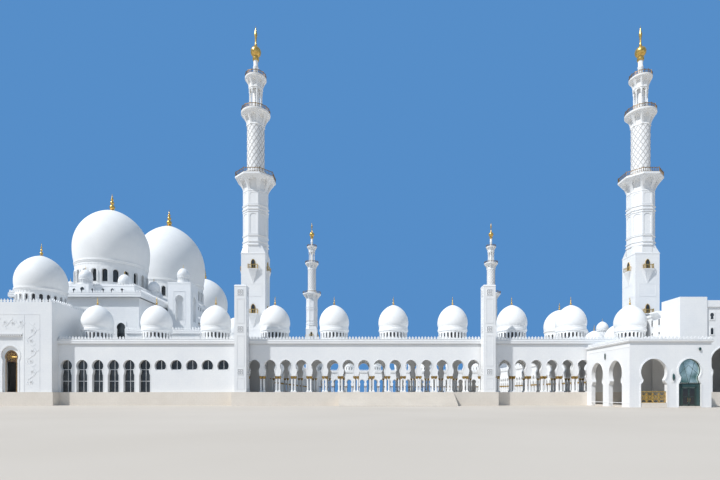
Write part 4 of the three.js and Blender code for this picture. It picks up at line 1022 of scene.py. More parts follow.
def build_hall():
    west_u = (HALL_U[0], UPPER_U[0] - SEAT)
    east_u = (UPPER_U[1] + SEAT, HALL_U[1])
    walls = [ring_of_walls(HALL_U, HALL_V, LOW, ARCADE_TOP)]
    walls += [ring_of_walls(u, HALL_V, ARCADE_TOP, HALL_TOP) for u in (west_u, east_u)]
    for side in BOTH:
        strip = ordered(side * (UPPER_HALF_V - BLOCK_WALL), side * HALL_HALF_V)
        walls.append(box(UPPER_U, strip, (ARCADE_TOP, CORNICE_TOP)))
    curve = pointed_arch(1.2, 5.4, 11.0, 13.4)
    west_places = steps_between(-HALL_HALF_V + 4, HALL_HALF_V - 4, 2 * ARCH_PITCH)
    west, east = [all_moved(wall_windows(curve, 10.9, places, HALL_HALF_U, facing), HALL_AXIS_U)
                  for places, facing in ((west_places, 3), ([-BAY, 0, BAY], 1))]
    piece("hall_stonework", merge(walls + [west[0], east[0]]), MARBLE, "hall_walls")
    piece("hall_windows", merge([west[1], east[1]]), GLASS)
    roofs = merge([lower_hall_roof(west_u, -1), lower_hall_roof(east_u, 1)])
    piece("hall_cornice", roofs, MARBLE, "hall_roof")


TOWER_U = (HALL_AXIS_U + 21, HALL_AXIS_U + 28.8)
TOWER_V = (46.2, 53.9)
TOWER_TOP = 41.1
TOWER_DOME_APEX = 46.9
TOWER_NICHE_DEPTH = 1.6
TURRET_RADIUS = 2.05
TURRET_HALF = 1.95
ATTIC_MARGIN = 3.2
ATTIC_PITCH = 3.05
ATTIC_LOW = UPPER_CORNICE_TOP - 0.1
END_WINDOW_OFFSET = 13.5


def turret(base_z, apex_z, radius=TURRET_RADIUS):
    """A small dome on a drum with a ring of dark slots, and its finial."""
    ring_z = apex_z - 1.5 * radius
    drum = stepped((0.95 * radius, base_z, ring_z - 1.45), (0.8 * radius, ring_z - 1.4, ring_z - 0.5),
                   (0.98 * radius, ring_z - 0.4, ring_z - 0.1), (0.92 * radius, ring_z))
    bulb = lathe(drum + dome_curve(radius, ring_z, apex_z, 12) + [(0, apex_z)], 32)
    post = box((-0.11, 0.11), (-0.94 * radius, -0.7 * radius), (ring_z - 1.5, ring_z - 0.4))
    tip = finial(apex_z - 0.03, apex_z + 1.3 * radius / TURRET_RADIUS, 0.14)
    return merge([bulb, copies_round(post, 16)]), tip


def four_fronts(curve, centre_z, places, half, border=0.16, proud=0.12):
    """The same blind windows on all four sides of a square block: stone and glass."""
    return gathered(*[wall_windows(curve, centre_z, places, half, turn, border, proud) for turn in range(4)])


def turret_base(top):
    """The square foot of a turret between the eaves and its drum, with a keyhole window to each side."""
    foot = box(about(0, TURRET_HALF), about(0, TURRET_HALF), (ATTIC_LOW, top))
    curve = horseshoe(0.62, top - 1.5, 0.48, 0.52, top - 2.6, steps=8)
    frames, panes = four_fronts(curve, top - 1.5, [0], TURRET_HALF, proud=0.1)
    return merge([foot, frames]), panes


def attic(drum, top):
    """The square stage under a great dome: walls with small windows, a moulding and merlons."""
    half = drum + ATTIC_MARGIN
    side, out = about(0, half), about(0, half + 0.12)
    walls = [box(side, side, (ATTIC_LOW, top - 0.2)),
             swept_edge(out, out, [(0.1, top - 0.4), (0, top - 0.3), (0, top), (0.12, top + 0.1),
                                   (0.42, top + 0.1), (0.42, top - 0.4)]),
             merlons_round(side, side, top + 0.05, top + 0.7)]
    curve = horseshoe(0.5, top - 1.5, 0.38, 0.42, top - 2.5, steps=8)
    places = [(k + 0.5) * ATTIC_PITCH for k in range(-5, 5) if abs((k + 0.5) * ATTIC_PITCH) < half - 1]
    frames, panes = four_fronts(curve, top - 1.5, places, half)
    return merge(walls + [frames]), panes


def turrets_of(drum, top):
    """The turrets round a side dome: four on square feet in the middles, four small ones at the corners."""
    side = drum + ATTIC_MARGIN
    stones, panes, golds = [], [], []
    foot, foot_panes = turret_base(top - 0.4)
    for spots, apex in (([(0, -side - 1.5), (0, side + 1.5), (-side, 0), (side, 0)], 42.3),
                        ([(a * (side - 4.1), b * (side - 2.2)) for a in BOTH for b in BOTH], 41.7)):
        body, gilt = turret(top - 0.5, apex)
        stones.append(copies_at(body, spots))
        golds.append(copies_at(gilt, spots))
        if apex > 42:
            stones.append(copies_at(foot, spots))
            panes.append(copies_at(foot_panes, spots))
    return [merge(parts) for parts in (stones, panes, golds)]


def build_upper_hall():
    v = (-UPPER_HALF_V, UPPER_HALF_V)
    walls = [ring_of_walls(UPPER_U, v, HALL_CORNICE_TOP + SEAT, UPPER_TOP)]
    walls += [box(UPPER_U, ordered(side * (UPPER_HALF_V - BLOCK_WALL), side * UPPER_HALF_V),
                  (CORNICE_TOP + SEAT, HALL_CORNICE_TOP + 0.1)) for side in BOTH]
    low_curve = on_feet(horseshoe(1.3, 23.35, 1.15, 1.2, 21.4, steps=12), 18.8)
    south = wall_windows(low_curve, 23.4, [HALL_AXIS_U + a * END_WINDOW_OFFSET for a in BOTH], UPPER_HALF_V,
                         border=0.35)
    curve = horseshoe(1.0, 29.2, 0.8, 0.85, 26.5, steps=10)
    places = [-62.5, -50, -37.5, -12.5, 0, 12.5, 37.5, 50, 62.5]
    east, west = [all_moved(wall_windows(curve, 29.2, places, UPPER_HALF_U, facing), HALL_AXIS_U)
                  for facing in (1, 3)]
    frames, panes = gathered(south, [mirrored(part) for part in south], east, west)
    piece("upper_hall_stonework", merge(walls + [frames]), MARBLE, "hall_upper_walls")
    stones = [flat_roof(grown(UPPER_U, UPPER_OVERHANG), grown(v, UPPER_OVERHANG),
                        (UPPER_TOP + SEAT, UPPER_CORNICE_TOP, 33.8), 34.7, base=0.8 * UPPER_OVERHANG)]
    panes, golds = [panes], []
    for label, middle, spec in GREAT_DOMES:
        stages = [attic(spec["drum"], spec["attic"])]
        if label != "main":
            *stage, gilt = turrets_of(spec["drum"], spec["attic"])
            stages.append(stage)
            golds.append(moved(gilt, HALL_AXIS_U, middle))
        stone_part, pane_part = all_moved(gathered(*stages), HALL_AXIS_U, middle)
        stones.append(stone_part)
        panes.append(pane_part)
    piece("upper_hall_cornice", merge(stones), MARBLE, "hall_upper_roof")
    piece("upper_hall_windows", merge(panes), GLASS)
    piece("upper_hall_finials", merge(golds), GOLD)


def build_towers():
    """Square towers with a deep keyhole niche to the south, north and east, and a small dome on top."""
    deep, low, high = TOWER_NICHE_DEPTH, HALL_CORNICE_TOP + SEAT, TOWER_TOP
    half_u, half_v = (TOWER_U[1] - TOWER_U[0]) / 2, (TOWER_V[1] - TOWER_V[0]) / 2
    curve = on_feet(horseshoe(1.4, 35.2, 1.15, 1.28, 33.0, steps=14), 28.0)
    bay_front, bay_side = [arch_bay(curve, 35.19, half, low, high, deep) for half in (half_u, half_v - deep)]
    border = merge([twin_boxes(1.84, 2.0, (-0.09, 0.02), (26.6, 38.0)),
                    box((-2.0, 2.0), (-0.09, 0.02), (38.0, 38.18)), arch_rim(curve, 0.12, 0.0, 0.08)])
    south = merge([moved(bay_front, v=-half_v + deep / 2), moved(border, v=-half_v)])
    east = turned(merge([moved(bay_side, v=-half_u + deep / 2), moved(border, v=-half_u)]))
    core = box((-half_u, half_u - deep), (-half_v + deep, half_v - deep), (low, high))
    cap = box(about(0, half_u + 0.08), about(0, half_v + 0.08), (high - 0.5, high - 0.3))
    dome, gilt = turret(high - 0.1, TOWER_DOME_APEX)
    centre = (TOWER_U[0] + half_u, -TOWER_V[0] - half_v)
    stones = moved(merge([south, mirrored(south), east, core, cap, dome]), *centre)
    both_sides("hall_tower_stonework", stones, MARBLE, "hall_tower")
    both_sides("hall_tower_finial", moved(gilt, *centre), GOLD)


# West stretch of the south front: glazed arches down to the floor, then five above a sill
SILL_FROM_U = -19.5 * ARCH_PITCH
WINDOW_SILL = 9.2
BAR_V = (0.3, 0.42)
PANE_V = (0.42, 0.54)


def sill_window_curve(steps=24):
    """The round arch cut off by a level sill."""
    radius, centre = ARCH["radius"], ARCH["centre_z"]
    neck = math.sqrt(radius ** 2 - (centre - WINDOW_SILL) ** 2)
    first = math.asin((WINDOW_SILL - centre) / radius)
    angles = [math.pi - first + (2 * first - math.pi) * i / steps for i in range(1, steps)]
    arc = [(radius * math.cos(a), centre + radius * math.sin(a) * 1.03) for a in angles]
    return [(-neck, WINDOW_SILL)] + arc + [(neck, WINDOW_SILL)]


TALL_WINDOW = on_feet(horseshoe(**ARCH, steps=14), LOW)
SILL_WINDOW = sill_window_curve()


def window_bays(start, end, places, from_sill=lambda u: False):
    """A stretch of wall along u with glazed arches: the stone, the bars behind the arches and the panes."""
    wall, rims, bars = [], [], []
    for u in places:
        curve = SILL_WINDOW if from_sill(u) else TALL_WINDOW
        wall.append(moved(arch_bay(curve, ARCH["centre_z"], HALF_PITCH, LOW, ARCADE_TOP, WALL_THICK), u))
        rims.append(moved(arch_rim(curve, RIM_WIDTH, WALL_V[0], RIM_PROUD), u))
        sizes = [(0.05, (curve[0][1], 11.6)), (1.4, (6.2, 6.32)), (1.15, (9.2, 9.32))]
        bars += [box(about(u, half), BAR_V, z) for half, z in sizes if half < 1.4 or not from_sill(u)]
    first, last = places[0] - HALF_PITCH, places[-1] + HALF_PITCH
    wall += [box(span, WALL_V, (LOW, ARCADE_TOP)) for span in ((start, first), (last, end))]
    pane = box((first + 0.1, last - 0.1), PANE_V, (LOW, 12.05))
    return all_moved([merge([welded(merge(wall))] + rims), merge(bars), pane], v=-OUTER_V)


def build_west_windows():
    start = PORTAL_U[1] + SEAT
    places = steps_between(start, SPLIT_U - ARCH_PITCH)
    wall, bars, pane = window_bays(start, SPLIT_U - SEAT, places, lambda u: u > SILL_FROM_U)
    piece("south_window_wall", wall, MARBLE, "south_wall_west")
    piece("south_window_bars", bars, MARBLE)
    piece("south_window_panes", pane, GLASS, "south_window_glass")


# Closed gallery beyond each portal, with glazed arches and two domes
def build_far_galleries():
    start, end, back = HALL_U[0], PORTAL_U[0] - SEAT, -HALL_HALF_V - SEAT
    wall, bars, pane = window_bays(start + WALL_THICK, end, steps_between(start, end))
    u, v = (start - OVERHANG, end), (-OUTER_V - ROOF_EDGE, back)
    keep = lambda a, b: b < -HALL_HALF_V - 1 and a < end - 1
    parts = [wall, box((start, start + WALL_THICK), (-OUTER_V - WALL_THICK / 2, back), (LOW, ARCADE_TOP)),
             box((u[0] + 0.2, u[1]), (v[0] + 0.2, v[1]), (ARCADE_TOP, CORNICE_TOP)),
             roof_edge(u, v, (ARCADE_TOP, CORNICE_TOP, PARAPET_TOP)),
             merlons_round(u, v, PARAPET_TOP - 0.05, MERLON_TOP, keep)]
    domes, _, tips = arcade_domes(False, [(bay * BAY, -DOME_LINE_V) for bay in (-9, -8)])
    both_sides("gallery_stonework", merge(parts), MARBLE, "far_gallery")
    both_sides("gallery_bars", bars, MARBLE)
    both_sides("gallery_panes", pane, GLASS)
    both_sides("gallery_domes", domes, DOME_MARBLE)
    both_sides("gallery_finials", tips, GOLD)


# Carved plants on the portals
FLOWER_PETALS = 6


def leaf(place, angle, length, width, proud=0.035):
    half = [(t / 5 * length, math.sin(math.pi * t / 5) * width / 2) for t in range(6)]
    c, s = math.cos(angle), math.sin(angle)
    outline = half + [(a, -b) for a, b in half[-2:0:-1]]
    return prism([(place[0] + a * c - b * s, place[1] + a * s + b * c) for a, b in outline], -proud, 0.02)


def flower(place, radius):
    turns = [2 * math.pi * k / FLOWER_PETALS for k in range(FLOWER_PETALS)]
    return merge([leaf(place, turn, radius, radius * 0.62, 0.045) for turn in turns])


def vine(start, end, sway, pitch):
    """A stem that waves from start to end on the wall v = 0, with leaves on both sides and small flowers."""
    start, end = np.array(start, float), np.array(end, float)
    length = np.linalg.norm(end - start)
    along = (end - start) / length
    across = np.array([-along[1], along[0]])
    steps = max(8, round(length / pitch * 8))
    spots = [start + along * length * i / steps + across * sway * math.sin(2 * math.pi * i / 8)
             for i in range(steps + 1)]
    heading = math.atan2(along[1], along[0])
    parts = [rod((a[0], -0.01, a[1]), (b[0], -0.01, b[1]), 0.06, 5) for a, b in zip(spots, spots[1:])]
    for i, spot in enumerate(spots[1:-1], 1):
        side = 1 if i % 2 else -1
        parts.append(leaf(spot, heading + side, 1.0 + 0.2 * math.sin(i * 1.7), 0.42))
        if i % 8 in (2, 6):
            parts.append(flower(spot + across * (1 if i % 8 == 6 else -1), 0.6))
    return merge(parts)


# Portal on each side of the prayer hall
RECESS_HALF = 3.5
RECESS_TOP = 18.0
RECESS_DEEP = 0.5
DOOR_RING = 12.4
FAN_BAR_V = 0.97
PORTAL_DOME_RADIUS = 6.4
PORTAL_DOME_V = 86


def portal_front():
    """The south front round u = 0, with the wall's face on v = 0: stone, door curve and door frame."""
    half, top, inner, crown, deep = PORTAL_HALF_U, PORTAL_TOP, RECESS_HALF, RECESS_TOP, RECESS_DEEP
    wall, line = (0, BLOCK_WALL), (-0.04, 0.02)
    arch = on_feet(horseshoe(2.3, 12.8, 1.9, 2.0, 9.6, lift=0.03, steps=14), LOW)
    door = on_feet(horseshoe(1.4, DOOR_RING, 1.2, 1.25, 10.9, steps=12), LOW)
    teeth = box((-0.14, 0.14), (-0.02, deep), (crown - 0.35, crown - 0.02))
    parts = [twin_boxes(inner, half, wall, (LOW, top)), box((-inner, inner), wall, (crown, top)),
             moved(arch_bay(arch, 12.79, inner, LOW, crown, 0.4), v=deep + 0.2),
             moved(arch_bay(door, 12.39, inner, LOW, crown, 0.3), v=deep + 0.55),
             arch_rim(arch, 0.34, deep, 0.1),
             in_row(teeth, np.arange(-inner + 0.35, inner - 0.2, 0.55)),
             box((-inner, inner), (-0.07, 0.1), (crown, crown + 0.45)),
             box(about(0, inner + 4.37), line, (23.1, 23.22))]
    parts += [twin_boxes(edge, edge + 0.12, line, (LOW, 23.1)) for edge in (inner + 0.35, inner + 4.25)]
    for side in BOTH:
        parts.append(vine((side * (inner + 2.3), 4.6), (side * (inner + 2.3), 21.0), 1.15, 5.2))
        parts.append(vine((side * (inner + 0.6), 21.0), (0, 21.0), 0.9, 5.0))
    return merge(parts), door, arch_rim(door, 0.24, deep + 0.4, 0.05)


def portal_walls():
    back = -HALL_HALF_V - OVERHANG - SEAT
    u, v = about(0, PORTAL_HALF_U), (-PORTAL_FRONT_V, back)
    back_wall = (back - BLOCK_WALL, back)
    return merge([
        twin_boxes(PORTAL_HALF_U - BLOCK_WALL, PORTAL_HALF_U, (v[0] + BLOCK_WALL, back),
                   (LOW, PORTAL_TOP)),
        twin_boxes(2, PORTAL_HALF_U, back_wall, (LOW, PORTAL_TOP)),
        box((-2, 2), back_wall, (15.2, PORTAL_TOP)),
        box(grown(u, -0.6), grown(v, -0.6), (PORTAL_TOP - 1, PORTAL_TOP - 0.02)),
        merlons_round(u, v, PORTAL_TOP - 0.02, PORTAL_TOP + 0.9, lambda a, b: b < back - 1)])


def entrance_dome(radius):
    """The larger domes over the entrances, on u = 0 and v = 0: stone, dark drum and finial."""
    drum, ring, apex, tip, base, slots = 0.94 * radius, 31.2, 40.9, 44.5, PORTAL_TOP + SEAT, 22
    inner = drum - 0.6
    rims = arch_rim(slot_curve(0.86, 27.3, 29.4), 0.13, 0, 0.08)
    bulb = stepped((inner, 30.3), (drum + 0.06, 30.3), (drum + 0.15, 30.5), (0.98 * radius, 30.75),
                   (radius, 30.9, ring)) + dome_curve(radius, ring, apex, 24, ENTRANCE_BULB)
    stones = [arched_slot_ring(drum, 0.45, 27.3, 29.4, base, 30.3, slots, 0.86),
              to_each_side(rims, drum, slots),
              copies_round(box((-0.13, 0.13), (-drum - 0.1, -drum + 0.05), (30.0, 30.3)), 2 * slots),
              lathe(bulb + [(0, apex), (0, apex - 0.6), (inner, ring - 0.2)], 56, ends="open")]
    # A dark cylinder just inside the slots: painted shade for the unlit inside on the portal domes, dark
    # glass on the east dome.
    dark = lathe([(inner, base), (inner, 30.2), (inner - 0.1, 30.2), (inner - 0.1, base)], 44, ends="joined")
    return merge(stones), dark, finial(apex - 0.08, tip, 0.42)


def build_portals():
    front, door, door_frame = portal_front()
    to_front = {"u": PORTAL_AXIS_U, "v": -PORTAL_FRONT_V}
    stones = merge([moved(front, v=-PORTAL_FRONT_V), portal_walls()])
    both_sides("portal_stonework", moved(stones, PORTAL_AXIS_U), MARBLE, "portal")
    light = prism([(x, z) for x, z in door if z > 11.0], 0.98, 1.04)
    both_sides("portal_fanlight", moved(light, **to_front), AMBER_GLASS)
    both_sides("portal_door_frame", moved(door_frame, **to_front), BRONZE)
    tracery = [rod((0, FAN_BAR_V, DOOR_RING), (1.35 * x, FAN_BAR_V, DOOR_RING + 1.35 * z), 0.035, 5)
               for x, z in circle(8)]
    for radius in (0.45, 0.95):
        hoop = square_hoop(radius - 0.03, radius + 0.03, 0.03, 20)
        tracery.append(moved(hoop, 0, FAN_BAR_V, DOOR_RING))
    both_sides("portal_tracery", moved(merge(tracery), **to_front), GOLD)
    stones, dark, gold = all_moved(entrance_dome(PORTAL_DOME_RADIUS), PORTAL_DOME_U, -PORTAL_DOME_V)
    both_sides("portal_dome_shell", stones, DOME_MARBLE, "portal_dome")
    # The portal domes' drum core takes painted shade for their unlit inside.
    both_sides("portal_dome_drum", dark, PAINTED_SHADE_INSIDE)
    both_sides("portal_dome_finial", gold, GOLD)


# Gatehouse at each east corner
GATEHOUSE_HALF = DOME_LINE_U - GATEHOUSE_WEST_U
GATEHOUSE_RECESS = 5.1
LONG_EAVES_V = -89.6


def house_window(half, sill, shoulder, tip):
    """A small window with a straight-sided pointed head."""
    return [(-half, sill), (-half, shoulder), (0, tip), (half, shoulder), (half, sill)]


def gatehouse_front():
    """The south front round u = 0, with the piers' face on v = 0."""
    half, inner = GATEHOUSE_HALF, GATEHOUSE_RECESS
    arch = on_feet(horseshoe(3.9, 10.7, 3.3, 3.5, 7.4, lift=0.02, steps=20), LOW)
    places = [-3.6, 3.6]
    upper = wall_windows(horseshoe(0.5, 22.4, 0.34, 0.4, 21.35, steps=8), 22.39, places, 0, border=0.2)
    lower = wall_windows(house_window(0.36, 17.6, 19.0, 19.3), 18.5, places, 0, border=0.2)
    frames, panes = all_moved(gathered(upper, lower), v=0.5)
    return merge([twin_boxes(inner, half, (0, BLOCK_WALL), (LOW, GATEHOUSE_TOP)),
                  moved(arch_bay(arch, 10.69, inner, LOW, 24.4, 0.7), v=0.85),
                  box((-inner, inner), (0.2, BLOCK_WALL), (24.4, GATEHOUSE_TOP - 0.8)),
                  arch_rim(arch, 0.28, 0.5, 0.1), frames]), panes


def gatehouse_body():
    """Side and back walls, roof and eaves round u = 0, seen from the south side."""
    half, roof = GATEHOUSE_HALF, GATEHOUSE_ROOF
    inside = half - BLOCK_WALL
    front, screen, back = -GATEHOUSE_FRONT_V + BLOCK_WALL, -GATEHOUSE_SCREEN_V, -GATEHOUSE_BACK_V
    parts = [twin_boxes(inside, half, (front, screen), (LOW, GATEHOUSE_TOP)),
             twin_boxes(inside, half, (screen, back), (LOW, roof)),
             twin_boxes(2.2, inside, (back - BLOCK_WALL, back), (LOW, roof)),
             box((-inside, inside), (screen - BLOCK_WALL, screen), (23.5, GATEHOUSE_TOP)),
             box(about(0, half - 0.1), (front, back), (roof - 1, roof)),
             moved(arch_bay(TALL_WINDOW, ARCH["centre_z"], 2.2, LOW, roof, BLOCK_WALL),
                   v=back - BLOCK_WALL / 2)]
    long_eaves = ((-0.2, 23.1), (0, 23.1), (1.15, 24.2), (1.15, 24.6), (-0.2, 24.6))
    short_eaves = ((-0.2, 23.2), (0, 23.2), (0.25, 23.6), (0.25, 24.2), (-0.2, 24.2))
    for eaves, span in ((long_eaves, (screen, LONG_EAVES_V)), (short_eaves, (LONG_EAVES_V, back))):
        parts += [prism([(side * (half + reach), z) for reach, z in eaves], *span) for side in BOTH]
    places = [89.0, 92.0]
    west = gathered(wall_windows(pointed_arch(0.3, 21.0, 22.3, 22.8), 22.2, places, half, 3, border=0.18),
                    wall_windows(house_window(0.28, 18.6, 19.1, 19.3), 19.0, places, half, 3, border=0.14))
    frames, panes = gathered(west, [mirrored(part, 0) for part in west])
    return merge(parts + [frames]), panes


def build_gatehouses():
    front = all_moved(gatehouse_front(), v=-GATEHOUSE_FRONT_V)
    stones, panes = all_moved(gathered(front, gatehouse_body()), DOME_LINE_U)
    both_sides("gatehouse_stonework", stones, MARBLE, "gatehouse")
    both_sides("gatehouse_windows", panes, GLASS)


# East entrance: a raised block with a dome on the arcade, and a gate in front of it
CROSSING_HALF = 7.1
EAST_DOME_RADIUS = 6.8
GATE_U = (OUTER_U + ROOF_EDGE + SEAT, GATE_EAST_U)
GATE_TURRET = {"apex_z": 34.4, "radius": 2.5}
GATE_TURRET_V = 9.1


def build_east_entrance():
    half = CROSSING_HALF
    u, v = about(DOME_LINE_U, half), about(0, half)
    frames, panes = all_moved(four_fronts(pointed_arch(0.8, 19.5, 22.6, 23.6), 22.5, [-3, 0, 3], half, 0.25),
                              DOME_LINE_U)
    stones = [ring_of_walls(u, v, CORNICE_TOP + SEAT, PORTAL_TOP),
              box(grown(u, -0.1), grown(v, -0.1), (PORTAL_TOP - 1, PORTAL_TOP)),
              merlons_round(u, v, PORTAL_TOP - 0.02, PORTAL_TOP + 0.9), frames]
    piece("east_crossing_stonework", merge(stones), MARBLE, "east_crossing")
    piece("east_crossing_windows", panes, GLASS)
    stones, dark, gold = all_moved(entrance_dome(EAST_DOME_RADIUS), DOME_LINE_U)
    piece("east_dome_shell", stones, DOME_MARBLE, "east_dome")
    piece("east_dome_drum", dark, GLASS)
    piece("east_dome_finial", gold, GOLD)


def build_east_gate():
    half, v = GATE_HALF_V, about(0, GATE_HALF_V)
    middle, reach = (GATE_U[0] + GATE_U[1]) / 2, (GATE_U[1] - GATE_U[0]) / 2
    passage = on_feet(pointed_arch(4.0, 8.0, 12.4, 17.4, steps=10), LOW)
    end_wall = moved(arch_bay(passage, 12.3, half, LOW, GATE_TOP, BLOCK_WALL), v=-reach + BLOCK_WALL / 2)
    rim = moved(arch_rim(passage, 0.35, 0, 0.12), v=-reach)
    side_panel = panel(2.6, 5.0, 12.5, 0.2, 0.1, 9)
    panels = [moved(side_panel, place, -reach) for place in (-9.5, 9.5)]
    flanks = [box(about(0, reach - BLOCK_WALL), ordered(side * half, side * (half - BLOCK_WALL)),
                  (LOW, GATE_TOP)) for side in BOTH]
    curve = horseshoe(0.8, 18.2, 0.6, 0.65, 15.8, steps=10)
    east = wall_windows(curve, 18.19, [-11.5, -7.5, 7.5, 11.5], reach, 1)
    flank = wall_windows(curve, 18.19, [-3, 3], half)
    frames, panes = gathered(east, flank, [mirrored(part) for part in flank])
    body, gilt = [copies_at(part, [(0, side * GATE_TURRET_V) for side in BOTH])
                  for part in turret(GATE_TOP - 0.1, **GATE_TURRET)]
    stones = merge([turned(merge([end_wall, rim] + panels)), turned(end_wall, 3 * QUARTER), *flanks,
                    box(about(0, reach - 0.1), grown(v, -0.1), (GATE_TOP - 1, GATE_TOP)),
                    merlons_round(about(0, reach), v, GATE_TOP - 0.02, GATE_TOP + 0.9), frames, body])
    piece("east_gate_stonework", moved(stones, middle), MARBLE, "east_gate")
    piece("east_gate_windows", moved(panes, middle), GLASS)
    piece("east_gate_finials", moved(gilt, middle), GOLD)


# Wings: low blocks with horseshoe arches that stand on the ground in front of the arcade
WING_FRONT_V = 113.7
WING_BACK_V = OUTER_V + ROOF_EDGE + SEAT
WING_WALL = 0.9
WING_TOP = 14.1
WING_ROOF_REACH = OVERHANG - 0.06
GROUND = 0.003
SCREEN_U = 38.5
DOOR_U = 46.3
WIDE_HALF, NARROW_HALF = 3.6, 3.2
WEST_ARCHES_V = (-107.9, -99.5)
LAMP_U = 42.7
WIDE_ARCH = {"radius": 2.85, "centre_z": 7.7, "neck_half": 2.3, "impost_half": 2.85}
DOOR_ARCH = {"radius": 2.45, "centre_z": 8.1, "neck_half": 1.95, "impost_half": 2.45}
WING_IMPOST = 5.1


def wing_arch(style, base=GROUND, shrink=0.0):
    sizes = {key: value - (shrink if key != "centre_z" else 0.0) for key, value in style.items()}
    return on_feet(horseshoe(**sizes, impost_z=WING_IMPOST, lift=0.02, steps=20), base)


def wing_stone():
    front, levels = (-WING_FRONT_V, -WING_FRONT_V + WING_WALL), (GROUND, WING_TOP)
    wide, narrow = wing_arch(WIDE_ARCH), wing_arch(DOOR_ARCH)
    wide_bay = arch_bay(wide, 7.69, WIDE_HALF, *levels, WING_WALL)
    narrow_bay = arch_bay(narrow, 8.09, NARROW_HALF, *levels, WING_WALL)
    rim = arch_rim(wide, 0.3, 0, 0.07)
    middle_v = -WING_FRONT_V + WING_WALL / 2
    parts = [moved(wide_bay, SCREEN_U, middle_v), moved(narrow_bay, DOOR_U, middle_v),
             box((WING_U[1] - WING_WALL, WING_U[1]), (front[1], -WING_BACK_V), levels)]
    for u in ((WING_U[0], SCREEN_U - WIDE_HALF), (SCREEN_U + WIDE_HALF, DOOR_U - NARROW_HALF),
              (DOOR_U + NARROW_HALF, WING_U[1])):
        parts.append(box(u, front, levels))
    for v in WEST_ARCHES_V:
        parts.append(moved(turned(wide_bay, 3 * QUARTER), WING_U[0] + WING_WALL / 2, v))
        parts.append(moved(turned(rim, 3 * QUARTER), WING_U[0], v))
    for v in ((front[1], -111.5), (-104.3, -103.1), (-95.9, -WING_BACK_V)):
        parts.append(box((WING_U[0], WING_U[0] + WING_WALL), v, levels))
    for curve, u in ((wide, SCREEN_U), (narrow, DOOR_U)):
        parts.append(moved(arch_rim(curve, 0.32, front[0], 0.07), u))
        parts.append(moved(arch_rim(curve, 0.1, front[0] - 0.05, 0.06), u))
    for z in (1.0, 13.2):
        parts.append(box((WING_U[0] - 0.05, WING_U[0]), (-WING_FRONT_V, -WING_BACK_V), about(z, 0.06)))
    plate = prism(pointed_arch(0.5, 5.4, 7.6, 8.3), -0.06, 0.02)
    return merge(parts + [moved(plate, LAMP_U, -WING_FRONT_V)])


LANTERN_DEPTH_SHARE = 0.47


def lantern(height, radius):
    """A small flattened wall lantern on v = 0 with its foot on z = 0."""
    axis, parts = -radius - 0.16, []
    for profile, sides, twist in (
            ([(0, 0.1), (0.55, 0.14), (1, 0.3), (1, 0.68), (0.7, 0.76)], 8, math.pi / 8),
            ([(0, 0.74), (1.12, 0.76), (1.0, 0.8), (0.4, 0.9), (0.12, 1), (0, 1.05)], 8, math.pi / 8),
            ([(0, 0), (0.16, 0.04), (0.6, 0.15), (0, 0.16)], 8, 0.0)):
        parts.append(moved(lathe([(r * radius, z * height) for r, z in profile], sides, twist), v=axis))
    parts.append(rod((0, 0.02, 0.86 * height), (0, axis, 0.86 * height), 0.04))
    return stretched(merge(parts), v=LANTERN_DEPTH_SHARE)


SCREEN_HALF = 2.78
SCREEN_LOW, SCREEN_HIGH = 1.02, 3.54
SCREEN_RAIL = 0.14
SCREEN_FIELDS = 4


def wing_screen():
    """Gilt screen: a frame with crossing bars and rings, round u = 0 and on v = 0."""
    half, low, high, rail = SCREEN_HALF, SCREEN_LOW, SCREEN_HIGH, SCREEN_RAIL
    across, thick = (-half, half), (-0.09, 0.09)
    parts = [box(across, thick, (low, low + rail)), box(across, thick, (high - 0.16, high)),
             twin_boxes(half, half - rail, thick, (low, high)),
             box(across, (-0.06, 0.06), (high - 0.42, high - 0.34))]
    bottom, top, pitch = low + rail, high - 0.4, 2 * (half - rail) / SCREEN_FIELDS
    ring = square_hoop(0.42, 0.54, 0.06, 18)
    for i in range(SCREEN_FIELDS):
        left = -half + rail + i * pitch
        parts += [rod((left, 0, start), (left + pitch, 0, end), 0.06)
                  for start, end in ((bottom, top), (top, bottom))]
        parts += [moved(ring, left + pitch / 2, 0, (bottom + top) / 2),
                  box(about(left, 0.06), (-0.07, 0.07), (bottom, top))]
    return merge(parts)


def build_wings():
    both_sides("wing_stonework", wing_stone(), MARBLE, "wing_walls")
    u, v = grown(WING_U, WING_ROOF_REACH), (-WING_FRONT_V - WING_ROOF_REACH, -WING_BACK_V)
    roof = [box(grown(u, -0.2), (v[0] + 0.2, v[1]), (WING_TOP + SEAT, WING_TOP + 0.5)),
            roof_edge(u, v, (WING_TOP + SEAT, WING_TOP + 0.45, WING_TOP + 0.8), base=0.3),
            merlons_round(u, v, WING_TOP + 0.78, WING_TOP + 1.4, lambda a, b: b < v[1] - 0.8)]
    both_sides("wing_roof_stonework", merge(roof), MARBLE, "wing_roof")
    lamps = [moved(lantern(1.7, 0.26), LAMP_U, -WING_FRONT_V, 5.7),
             moved(lantern(0.8, 0.28), 48.4, -WING_FRONT_V, 12.3),
             moved(turned(lantern(1.7, 0.24), 3 * QUARTER), WING_U[0], -103.5, 11.0)]
    both_sides("wing_lamps", merge(lamps), TEAL_GLASS)
    piece("wing_lattice", moved(wing_screen(), SCREEN_U, -WING_FRONT_V + WING_WALL / 2), GOLD, "wing_screen")


# Doors of the south wing
DOOR_FRAME_V = (-WING_FRONT_V + 0.3, -WING_FRONT_V + 0.55)
DOOR_GAP = 0.055
DOOR_WIDTH = 1.4
DOORWAY_HALF = DOOR_WIDTH + 1.5 * DOOR_GAP
DOOR_TOP = 4.25
DOOR_THICK = 0.12
DOOR_RAIL = 0.13
PIVOT_RADIUS = 0.045
DOOR_AXIS_V = DOOR_FRAME_V[0] + PIVOT_RADIUS + SEAT
WING_FLOOR = 0.3


